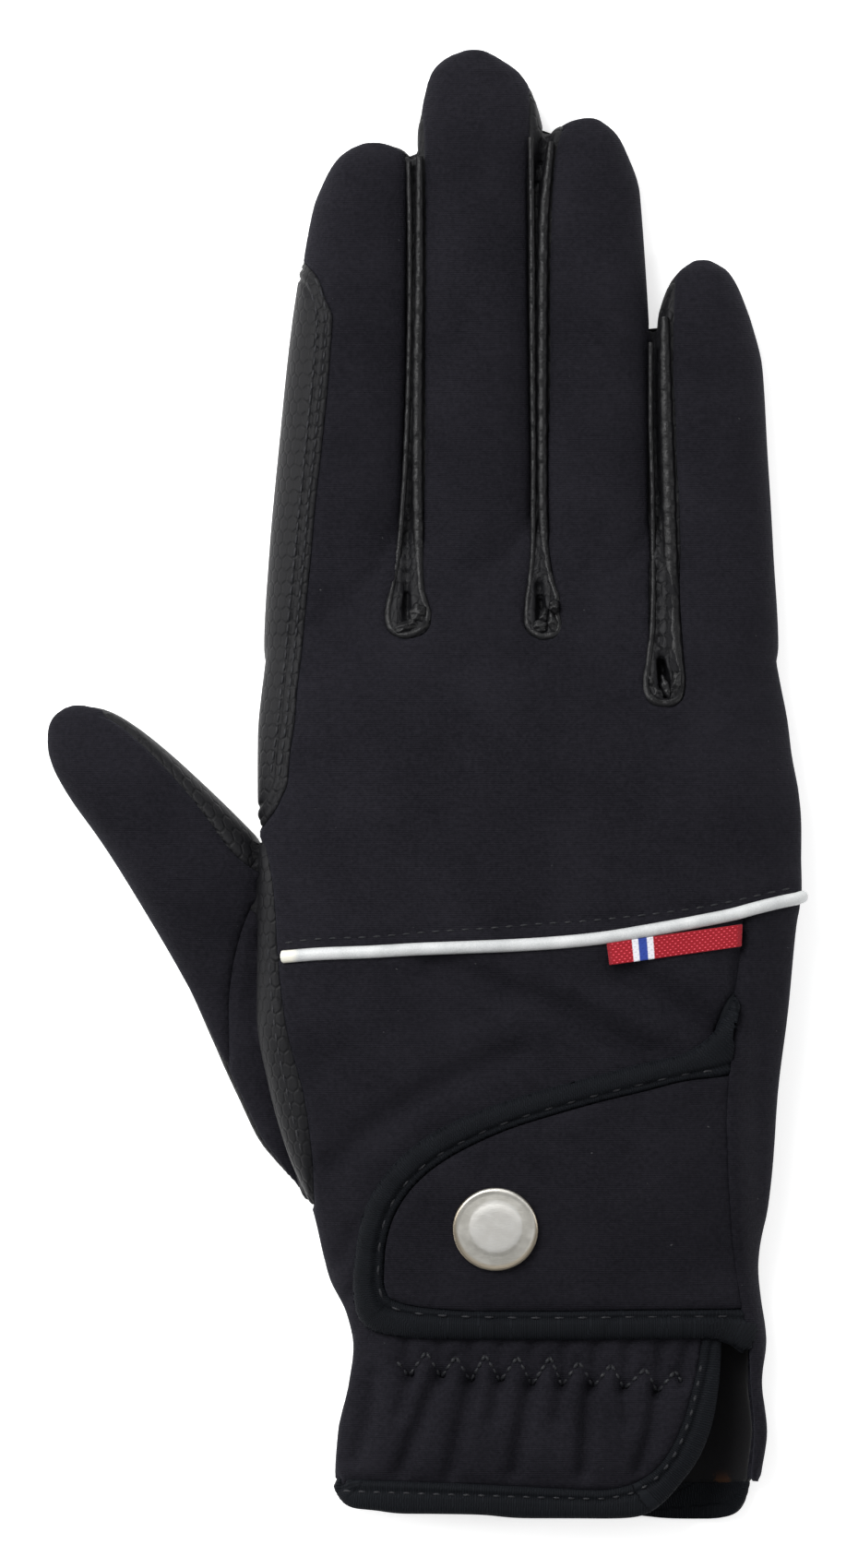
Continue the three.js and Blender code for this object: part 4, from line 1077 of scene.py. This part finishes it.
# %% Panels
# Each row is the outer and inner finish, the dip at the rim, how far it runs in, and the wall, in mm.
panels = {
    "back_upper": ("cloth", "cloth", 0.45, 0.6, 0.9),
    "back_lower": ("cloth", "cloth", 0.5, 0.7, 0.9),
    "side_panel": ("cloth", "cloth", 0.5, 0.9, 0.9),
    "palm": ("leather", "suede", 0.35, 0.8, 0.9),
    "fourchette_index_middle": ("leather", "suede", 0.7, 0.6, 0.7),
    "fourchette_middle_ring": ("leather", "suede", 0.7, 0.6, 0.7),
    "fourchette_ring_little": ("leather", "suede", 0.7, 0.6, 0.7),
    "index_patch": ("leather", "suede", 0.5, 0.5, 0.8),
    "thumb_trim": ("leather", "suede", 0.5, 0.6, 0.8),
    "thumb_back": ("cloth", "cloth", 0.5, 0.7, 0.9),
    "thumb_gusset": ("cloth", "cloth", 0.6, 0.9, 0.9),
    "thumb_palm": ("leather", "suede", 0.6, 0.8, 0.9),
}
proud = {"index_patch": 0.3, "thumb_trim": 0.15}
patch_rows = (0.8 * mm, 2.2 * mm)
above_table = 0.02 * mm
side_edge = rounded(np.vstack([plan([(803, 1003)]), vent_right[:-1]]))


def side_lift(points):
    """The outer edge of the hand stands up over the end of the flap."""
    near = distance_to(np.column_stack([points[:, :2], np.zeros(len(points))]),
                       np.column_stack([side_edge, np.zeros(len(side_edge))]))
    py = pixel_line(points[:, 1])
    height = 2.3 * smoothstep(1075, 1140, py) - 1.3 * smoothstep(1440, 1500, py)
    return height * mm * (1 - smoothstep(0, 6.5 * mm, near)) * (points[:, 2] > seam_level)


def pushed(points, normals, push):
    """Points moved along their normals, but not into the table."""
    shaped = points + normals * push[:, None]
    shaped[:, 2] = np.maximum(shaped[:, 2], above_table)
    return shaped


for name, (finish, inner_finish, dip, run, wall) in panels.items():
    points, normals, push, faces, rim = part_of_skin(owner == panel_names.index(name))
    if name in leather_outlines:
        points, normals, push, faces, rim = refine(points, normals, push, faces, rim)
    edge = distance_to(points, points[rim])
    push = push + proud.get(name, 0) * mm - dip * mm * bell(edge, run * mm)
    if name == "side_panel":
        push = push + side_lift(points)
    if name == "index_patch":
        hem = off_line(points[:, 0], points[:, 1], seam_lines["patch"])
        push = push - 0.35 * mm * sum(bell(hem - row, 0.3 * mm) for row in patch_rows)
    piece = walled(name + "_skin", pushed(points, normals, push), normals, faces, wall * mm, finish,
                   grain_map(points, normals), inner_finish)
    settle(piece, [name])

# %% [markdown]
# ## Rolled leather rims
# The leather between the fingers is turned over along each gap, so a thin welt shows on both sides of it.
# Where the gap ends the welt turns round a small trough and the spare leather crumples there. A cord that
# changes its radius is swept along that turn, and a few crumpled lumps close the end.

# %% A swept tube
def on_skin(px, py, lift=0.0):
    """A place on the glove's upper side below a pixel."""
    place, normal = fall(form_tree, float(across(px)), float(along(py)))
    return place + normal * lift


def swept(name, places, radius, finish, sides=12, swell=None):
    """A closed tube along some places, made by a curve's bevel and turned into a mesh."""
    data = bpy.data.curves.new(name, "CURVE")
    data.dimensions = "3D"
    data.bevel_depth, data.bevel_resolution, data.use_fill_caps = radius, sides // 4, True
    spline = data.splines.new("POLY")
    spline.points.add(len(places) - 1)
    for k, (point, place) in enumerate(zip(spline.points, places)):
        point.co = (*place, 1)
        point.radius = 1.0 if swell is None else float(swell[k])
    cord = bpy.data.objects.new(name, data)
    bpy.context.scene.collection.objects.link(cord)
    only(cord)
    bpy.ops.object.convert(target="MESH")
    cord = bpy.context.object
    cord.data.materials.clear()
    cord.data.materials.append(finishes[finish])
    cord.data.shade_smooth()
    lay_map(cord.data, read_points(cord)[:, :2])
    return cord


# %% Welts along the gaps
welts = {
    "index_middle": {
        "line": [(443, 176), (444, 230), (444.5, 300), (443, 400), (439.5, 500), (435.5, 560), (431, 605),
                 (425, 640), (421, 664), (423, 679), (431, 687.5), (441, 689), (452, 685), (461, 677),
                 (464, 666), (460, 654), (456, 640), (454, 600), (452.5, 500), (453, 400), (454.5, 300),
                 (455, 170)],
        "radius": [3.2, 3.2, 3.0, 3.0, 3.0, 3.0, 3.2, 3.6, 4.4, 5.0, 5.2, 5.2, 5.0, 4.6, 4.8, 5.2, 5.4,
                   6.0, 6.0, 5.8, 5.0, 3.8],
        "lumps": [(438, 681, 11, 7, 0.3), (453, 666, 9, 11, -0.2), (447, 677, 7, 7, 0.0)]},
    "middle_ring": {
        "line": [(575, 150), (576, 220), (576.5, 300), (577, 400), (578, 500), (577.5, 590), (574.5, 630),
                 (571.5, 655), (571, 674), (577, 685), (588, 690.5), (599, 689), (605, 680), (603, 668),
                 (598, 658), (603, 649), (599, 638), (593, 615), (590, 590), (588, 540), (587.5, 450),
                 (588, 350), (589, 250), (597, 155)],
        "radius": [3.2, 3.4, 3.6, 3.4, 3.2, 3.2, 3.4, 3.8, 4.6, 5.0, 5.0, 4.8, 4.6, 4.4, 4.4, 4.4, 4.4,
                   4.4, 4.8, 5.4, 5.6, 5.6, 5.6, 4.2],
        "lumps": [(585, 680, 9, 8, 0.2), (598, 676, 6, 12, 0.2), (600, 658, 6, 8, 0.3),
                  (589, 668, 5, 9, -0.3)]},
    "ring_little": {
        "line": [(705, 372), (705, 450), (707, 540), (707.5, 620), (706, 680), (702, 715), (699, 742),
                 (702, 755), (711, 762), (722, 763), (733, 758), (737, 745), (736, 730), (733, 715),
                 (730, 690), (727, 620), (724, 520), (721, 420), (720, 345)],
        "radius": [3.0, 3.0, 3.0, 3.0, 3.2, 3.6, 4.2, 4.8, 5.0, 5.0, 4.8, 4.6, 5.4, 6.6, 7.8, 8.4, 8.0,
                   7.0, 5.0],
        "lumps": [(711, 752, 7, 9, 0.5), (721, 747, 5, 14, 0.3), (731, 741, 6, 15, -0.2),
                  (705, 741, 5, 10, 0.1)]},
}


def cloth_height(px, py):
    """The height of the cloth that lies beside a gap."""
    x, y = float(across(px)), float(along(py))
    hits = [fall(form_tree, x + aside * pixel, y)[0] for aside in (-16, -11, 11, 16)]
    return max(hit.z for hit in hits if hit)


def lump(name, px, py, half_wide, half_long, turned, height):
    """A crumpled bit of leather: a ball pushed in and out by folds that run round it."""
    bpy.ops.object.select_all(action="DESELECT")
    bpy.ops.mesh.primitive_uv_sphere_add(segments=24, ring_count=16, radius=1)
    fold = bpy.context.object
    fold.name = name
    ball = read_points(fold)
    broad_waves = 0.13 * np.sin(ball[:, 0] * 5 + px) * np.cos(ball[:, 1] * 4 + py)
    ripple = 1 + broad_waves + 0.07 * np.sin(ball[:, 1] * 9 + px)
    x, y = ball[:, 0] * ripple * half_wide * pixel, ball[:, 1] * ripple * half_long * pixel
    write_points(fold, np.column_stack([float(across(px)) + x * math.cos(turned) - y * math.sin(turned),
                                        float(along(py)) + x * math.sin(turned) + y * math.cos(turned),
                                        height + ball[:, 2] * ripple * 1.1 * mm]))
    fold.data.materials.append(finishes["rolled_leather"])
    fold.data.shade_smooth()
    lay_map(fold.data, read_points(fold)[:, :2])
    return fold


for gap, welt in welts.items():
    line = np.array([(*point, radius) for point, radius in zip(welt["line"], welt["radius"])], float)
    fine = rounded(line, 3)
    heights = np.array([cloth_height(px, py) for px, py, radius in fine])
    for step in range(12):
        heights[1:-1] = (heights[:-2] + heights[1:-1] * 2 + heights[2:]) / 4
    k = np.arange(len(fine))
    heights += 0.12 * mm * np.sin(k * 0.9 + 1) * np.sin(k * 0.23)
    sink = 0.3 * mm + 0.7 * fine[:, 2] * pixel
    spots = np.column_stack([across(fine[:, 0]), along(fine[:, 1]), heights - sink])
    swell = fine[:, 2] * pixel / mm * (1 + 0.05 * np.sin(k * 0.7))
    cord = swept("welt_" + gap, spots.tolist(), 1 * mm, "rolled_leather", swell=swell)
    floor_height = float(heights[len(heights) // 2])
    folds_here = [lump(f"fold_{gap}_{number}", *bit, floor_height - 1.0 * mm)
                  for number, bit in enumerate(welt["lumps"])]
    settle(joined([cord, *folds_here]), [])

# %% [markdown]
# ## Bound hem
# The wrist is finished with an elastic tape folded over its edge. It runs round the hem and up the side
# of the vent. Its UV map holds the length along the tape, so that the ribs lie across it.

# %% Cuff binding
def tape_map(points, path):
    """Length along a path and distance from it, for a tape that follows the path."""
    tree, reach = search_tree(path), lengths_along(path)
    found = [tree.find((x, y, 0)) for x, y in points[:, :2].tolist()]
    return np.array([(reach[index], distance) for spot, index, distance in found])


points, normals, push, faces, rim = refine(*part_of_skin(owner == panel_names.index("cuff_binding")))
edge = distance_to(points, points[rim])
roll = np.sqrt(np.clip(edge / (1.1 * mm), 0, 1))
hem_seam = off_line(points[:, 0], points[:, 1], seam_lines["hem"])
stitch_groove = 0.55 * bell(hem_seam - 1.75 * mm, 0.5 * mm) * (points[:, 2] > 8 * mm)
push = push * 0.5 + (0.65 * roll - 0.3 - stitch_groove) * mm
hem_path = rounded(np.vstack([hem_line, vent_left[::-1][1:-2]]), 0.2 * mm)
binding = walled("cuff_binding_tape", pushed(points, normals, push), normals, faces, 1.6 * mm, "elastic",
                 tape_map(points, hem_path), "elastic")
settle(binding, ["cuff_binding"])

# %% [markdown]
# ## Flap
# The strap that closes the wrist is cloth with a bound edge. It lies on the back of the wrist, so it is
# taken from the same skin, raised by its own thickness. Its outline is fitted to the line read off the
# photograph.

# %% Flap and its binding
flap_outline = rounded(plan([
    (800, 1087), (794, 1079), (785, 1098), (773, 1117), (757, 1131), (735, 1142), (700, 1150), (650, 1163),
    (600, 1176), (550, 1191),
    (500, 1210), (460, 1232), (430, 1257), (408, 1285), (394, 1315), (387, 1350), (384, 1385), (387, 1415),
    (396, 1435), (420, 1446), (460, 1450), (600, 1451), (760, 1450), (788, 1456), (806, 1468)]))
flap_core_line = rounded(plan([
    (800, 1162), (783, 1165), (740, 1170), (700, 1180), (650, 1192), (600, 1206), (550, 1222), (500, 1245),
    (465, 1268), (440, 1295), (425, 1325), (419, 1355), (418, 1385), (423, 1402), (440, 1410), (470, 1415),
    (520, 1418), (600, 1418), (700, 1417), (790, 1417), (806, 1417)]))
flap_end = plan([(812, 1440), (803, 1400), (796, 1330), (791, 1240), (788, 1160), (791, 1110)])
flap_area = inside(middles, np.vstack([flap_outline, flap_end])) & (middles[:, 2] > 8 * mm)
core_area = flap_area & inside(middles, np.vstack([flap_core_line, flap_end[1:]]))


def fit_rim(points, rim, lines, reach):
    """Moves rim points onto the nearest of some plan lines and back down to the skin."""
    tree = search_tree(np.vstack(lines))
    for i in np.flatnonzero(rim):
        spot, index, gap = tree.find((points[i, 0], points[i, 1], 0))
        if gap < reach:
            hit = fall(form_tree, spot.x, spot.y)[0]
            points[i] = hit if hit else points[i]
    return points


def smooth_normals(normals, faces, rounds=6):
    sides = np.unique(sides_of(faces), axis=0)
    count = edge_count(sides, len(normals))
    for step in range(rounds):
        normals = normals + neighbours_mean(normals, sides, count)
        normals /= np.linalg.norm(normals, axis=1)[:, None]
    return normals


flap_lift = 1.0
points, normals, push, faces, rim = part_of_skin(core_area)
points = fit_rim(points.copy(), rim, [flap_core_line], 1.2 * mm)
normals = smooth_normals(normals, faces)
edge = distance_to(points, points[rim])
height = flap_lift + 0.75 - 0.45 * bell(edge, 1.0 * mm)
shaped = points + normals * (height * mm)[:, None]
core = walled("closure_flap_cloth", shaped, normals, faces, 1.1 * mm, "cloth", grain_map(points, normals),
              "cloth")
settle(core, ["closure_flap"])

points, normals, push, faces, rim = part_of_skin(flap_area & ~core_area)
points = fit_rim(points.copy(), rim, [flap_outline, flap_core_line], 1.2 * mm)
points, normals, push, faces, rim = refine(points, smooth_normals(normals, faces), push, faces, rim)
outer_gap = tape_map(points, flap_outline)
inner_gap = tape_map(points, flap_core_line)[:, 1]
share = np.clip(outer_gap[:, 1] / (outer_gap[:, 1] + inner_gap + 1e-9), 0, 1)
crown = np.clip(1 - np.abs(2 * share - 1) ** 2.6, 0, 1) ** 0.5
stitch_dent = 0.75 * bell(share - 0.72, 0.075)
height = flap_lift - 0.75 + 1.9 * crown - stitch_dent
shaped = points + normals * (height * mm)[:, None]
tape = walled("flap_binding_tape", shaped, normals, faces, 0.9 * mm, "elastic", outer_gap, "elastic")
settle(tape, ["flap_binding"])

# %% [markdown]
# ## Piping
# A cord wrapped in tape is a round section swept along a line. The line is read off the photograph and
# laid on the skin, half sunk into the seam, and it turns down over the outer edge of the hand.

# %% Sweep the piping
piping_radius = 1.1 * mm
piping_pixels = rounded([(308, 1036.5), (350, 1033), (400, 1031), (450, 1028), (500, 1026), (550, 1024),
                         (600, 1021), (650, 1016), (700, 1008), (750, 999), (790, 991), (820, 983),
                         (850, 976), (861, 974)], 4)
piping_places = [on_skin(px, py, 0.25 * mm) for px, py in piping_pixels]
edge_turn = [(866.5, 972.5, -1.2), (868.5, 972, -3.0), (868.5, 972, -5.0), (867.5, 972, -7.0)]
last = piping_places[-1]
for px, py, drop in edge_turn:
    piping_places.append(Vector((float(across(px)), float(along(py)), last.z + drop * mm)))
smooth_places = rounded([list(place) for place in piping_places], 0.5 * mm)
piping = swept("piping_cord", smooth_places.tolist(), piping_radius, "reflective", sides=16)
settle(piping, ["piping"])

# %% [markdown]
# ## Woven tab
# A short red tape is folded over and caught under the piping. It is a grid bent over the back of the
# hand, with the thickness of two layers of tape.

# %% Tab
tab_corners = np.array([(656, 1021), (802, 1001), (801, 1025), (659, 1045)], float)
bpy.ops.object.select_all(action="DESELECT")
bpy.ops.mesh.primitive_grid_add(x_subdivisions=48, y_subdivisions=10, size=1)
tab = bpy.context.object
tab.name = "woven_tab_tape"
flat = read_points(tab) + np.array([0.5, 0.5, 0])
upper = tab_corners[0] + (tab_corners[1] - tab_corners[0]) * flat[:, :1]
lower = tab_corners[3] + (tab_corners[2] - tab_corners[3]) * flat[:, :1]
pixels = lower + (upper - lower) * flat[:, 1:2]
tab_places = np.array([on_skin(px, py, 0.75 * mm) for px, py in pixels])
tab_places[:, 2] += 0.15 * mm * np.sin(flat[:, 0] * 9) * (1 - flat[:, 1])
write_points(tab, tab_places)
tab_width = 3.9 * mm
tab_length = float(np.hypot(*(tab_corners[1] - tab_corners[0])) * pixel)
lay_map(tab.data, np.column_stack([flat[:, 0] * tab_length, flat[:, 1] * tab_width]))
tab.data.materials.append(finishes["red_weave"])
only(tab)
bpy.ops.object.modifier_add(type="SOLIDIFY")
tab.modifiers[-1].thickness, tab.modifiers[-1].offset = 0.7 * mm, -1
bpy.ops.object.modifier_apply(modifier=tab.modifiers[-1].name)
bpy.ops.object.modifier_add(type="BEVEL")
tab.modifiers[-1].width = 0.12 * mm
tab.modifiers[-1].segments = 2
bpy.ops.object.modifier_apply(modifier=tab.modifiers[-1].name)
tab.data.shade_smooth()
settle(tab, ["woven_tab"])

# %% [markdown]
# ## Snap
# The cap is pressed from sheet metal: a rolled rim, a shallow step and a slightly domed face. Half its
# profile is spun round its axis, the way a lathe would turn it.

# %% Snap cap
cap_profile = [(0, 1.32), (3.2, 1.31), (4.3, 1.28), (4.6, 1.21), (4.9, 1.18), (6.2, 1.13), (6.5, 1.12),
               (6.85, 1.22), (7.1, 1.2), (7.32, 0.98), (7.4, 0.6), (7.3, 0.2), (6.9, 0.0), (2.2, 0.0),
               (2.2, -0.9), (0, -0.9)]
seat = on_skin(537, 1327, 0)
snap_normal = form_tree.find_nearest(seat)[1]
bpy.ops.object.select_all(action="DESELECT")
bpy.ops.mesh.primitive_circle_add(vertices=3, radius=1)
snap = bpy.context.object
snap.name = "snap_cap"
profile = bpy.data.meshes.new("snap_cap")
profile_sides = [(i, i + 1) for i in range(len(cap_profile) - 1)]
profile.from_pydata([(r * mm, 0, h * mm) for r, h in cap_profile], profile_sides, [])
snap.data = profile
bpy.ops.object.mode_set(mode="EDIT")
bpy.ops.mesh.select_all(action="SELECT")
bpy.ops.mesh.spin(steps=72, angle=turn, center=(0, 0, 0), axis=(0, 0, 1))
bpy.ops.mesh.select_all(action="SELECT")
bpy.ops.mesh.remove_doubles(threshold=0.01 * mm)
bpy.ops.mesh.normals_make_consistent(inside=False)
bpy.ops.object.mode_set(mode="OBJECT")
tilt = Vector((0, 0, 1)).rotation_difference(snap_normal).to_matrix()
snap_height = (flap_lift + 0.8) * mm
spun = read_points(snap) @ np.array(tilt).T + np.array(seat + snap_normal * snap_height)
write_points(snap, spun)
snap.data.materials.append(finishes["nickel"])
only(snap)
bpy.ops.object.shade_smooth_by_angle(angle=math.radians(50))
settle(snap, ["snap_button"])

# %% [markdown]
# ## Stitches
# Every visible seam line is a row of short yarns that dive into the cloth at both ends. One small ball is
# stretched into a yarn and copied along each line. The rows follow the lines read off the photograph, and
# each stitch lies on whatever piece is on top there.

# %% Stitch rows
def top_surface(names):
    points, faces = [], []
    for name in names:
        piece = made[name]
        start = len(points)
        points.extend(read_points(piece).tolist())
        faces.extend([[start + k for k in polygon.vertices] for polygon in piece.data.polygons])
    return BVHTree.FromPolygons(points, faces)


bpy.ops.object.select_all(action="DESELECT")
bpy.ops.mesh.primitive_uv_sphere_add(segments=8, ring_count=6, radius=1)
yarn = bpy.context.object
yarn_points = read_points(yarn)
yarn_faces = [list(polygon.vertices) for polygon in yarn.data.polygons]
stitch_sunk, stitch_bow = 0.3, 0.35
bpy.data.objects.remove(yarn)


def stitch_row(name, lines, length, thick, pitch):
    """Rows of stitches along pixel lines. pitch is the distance from one stitch to the next."""
    points, faces = [], []
    for line in lines:
        path = rounded(plan(line), 0.1 * mm)
        reach = lengths_along(path)
        count = max(int(round(reach[-1] / pitch)), 1)
        for k in range(count):
            middle = (k + 0.5) * reach[-1] / count
            ends = []
            for where in (middle - length / 2, middle + length / 2):
                x, y = (float(np.interp(where, reach, path[:, axis])) for axis in range(2))
                hit = fall(upper_tree, x, y)
                if hit[0] is None:
                    break
                ends.append(hit)
            if len(ends) < 2:
                continue
            (first, up), (second, up_again) = ends
            run = second - first
            up = (up + up_again).normalized()
            side = up.cross(run).normalized()
            centre = (first + second) / 2 - up * thick * stitch_sunk
            start = len(points)
            for wide, tall, far in yarn_points:
                bow = (1 - far * far) * stitch_bow
                across_yarn = side * (wide * thick / 2) + up * (tall * thick / 2 + bow * thick)
                points.append(centre + run * (far / 2) + across_yarn)
            faces.extend([[start + corner for corner in face] for face in yarn_faces])
    row = new_piece(name, np.array([list(point) for point in points]), faces, "thread")
    face_outwards(row)
    settle(row, [])


upper_tree = top_surface(["back_upper_skin", "back_lower_skin", "side_panel_skin", "index_patch_skin",
                          "thumb_trim_skin", "cuff_binding_tape", "closure_flap_cloth", "flap_binding_tape"])
flap_stitches = [(778, 1158), (740, 1163), (700, 1172), (650, 1184), (600, 1198), (550, 1214), (498, 1237),
                 (460, 1261), (433, 1290), (417, 1322), (411, 1354), (410, 1385), (415, 1407), (432, 1419),
                 (470, 1424), (520, 1426), (600, 1427), (700, 1426), (795, 1426)]
stitch_row("flap_stitches", [flap_stitches], 1.9 * mm, 0.5 * mm, 4.0 * mm)
patch_outer = [(341, 300), (350, 322), (354, 345), (352, 380), (347, 430), (341, 490), (334, 550), (329, 610),
               (324, 660), (319, 710), (314, 750), (311, 780), (307, 812), (303, 842)]
patch_inner = [(332, 305), (340, 325), (344, 345), (342, 380), (337, 430), (331, 490), (325, 550), (319, 610),
               (314, 660), (310, 710), (305, 750), (302, 780), (298, 810), (294, 840)]
stitch_row("patch_stitches", [patch_outer, patch_inner], 1.9 * mm, 0.42 * mm, 2.2 * mm)
piping_stitches = [(306, 1022), (347, 1017), (399, 1015), (470, 1009), (533, 1005), (580, 1001), (628, 998),
                   (680, 993), (730, 987), (780, 979), (830, 968), (858, 962)]
stitch_row("piping_stitches", [piping_stitches], 1.5 * mm, 0.4 * mm, 2.56 * mm)
hem_stitches = [(368, 1616), (420, 1617), (500, 1619), (600, 1622), (650, 1623), (684, 1617), (708, 1603),
                (729, 1578), (744, 1545), (754, 1508), (760, 1475)]
stitch_row("hem_stitches", [hem_stitches], 1.4 * mm, 0.55 * mm, 2.56 * mm)
zigzag_lines = [[zigzag[i], zigzag[i + 1]] for i in range(len(zigzag) - 1)]
stitch_row("elastic_stitches", zigzag_lines, 1.5 * mm, 0.75 * mm, 1.55 * mm)
trim_stitches = [(290, 1010), (293, 1050), (296, 1090), (301, 1130), (309, 1170), (318, 1210), (328, 1250)]
stitch_row("trim_stitches", [trim_stitches], 1.7 * mm, 0.36 * mm, 2.4 * mm)

# %% [markdown]
# ## Sheets
# Each panel is a flat cut of cloth or leather before it is sewn and filled. Its flat size is a rectangle
# that holds it. The strips between the fingers aren't declared: they are narrower than a sheet may be,
# and have about half the area of their solids.

# %% Flat cuts
flat_cuts = {
    "back_upper_skin": ("back_upper", 0.110, 0.162),
    "back_lower_skin": ("back_lower", 0.095, 0.112),
    "side_panel_skin": ("side_panel", 0.022, 0.104),
    "palm_skin": ("palm", 0.100, 0.252),
    "thumb_back_skin": ("thumb_back", 0.028, 0.070),
    "thumb_gusset_skin": ("thumb_gusset", 0.011, 0.052),
    "thumb_palm_skin": ("thumb_palm", 0.038, 0.095),
    "closure_flap_cloth": ("closure_flap", 0.043, 0.067),
    "index_patch_skin": ("index_patch", 0.016, 0.099),
    "thumb_trim_skin": ("thumb_trim", 0.017, 0.065),
}


def face_area(piece):
    """Half of a thin wall's whole surface."""
    areas = np.empty(len(piece.data.polygons))
    piece.data.polygons.foreach_get("area", areas)
    return float(areas.sum()) / 2


for name, (node, width, length) in flat_cuts.items():
    solid, sewn = face_area(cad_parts[node]), face_area(made[name])
    print(name, "covers", round(sewn * 1e4, 1), "cm2, its solid", round(solid * 1e4, 1), "cm2")

# %% [markdown]
# ## Table
# A plain pale table under the glove.

# %% Table
bpy.data.objects.remove(form)
bpy.ops.object.select_all(action="DESELECT")
bpy.ops.mesh.primitive_plane_add(size=6, location=(0, 0, 0))
table = bpy.context.object
table.name = "table_top"
paper = Finish("paper", Specular_IOR_Level=0.2)
paper.shader.inputs["Base Color"].default_value = (0.93, 0.93, 0.93, 1)
paper.shader.inputs["Emission Color"].default_value = (1, 1, 1, 1)
paper.shader.inputs["Emission Strength"].default_value = 0.6
paper.wear(roughness=0.75 + paper.noise(2 * mm, 2) * 0.1)
table.data.materials.append(paper.material)
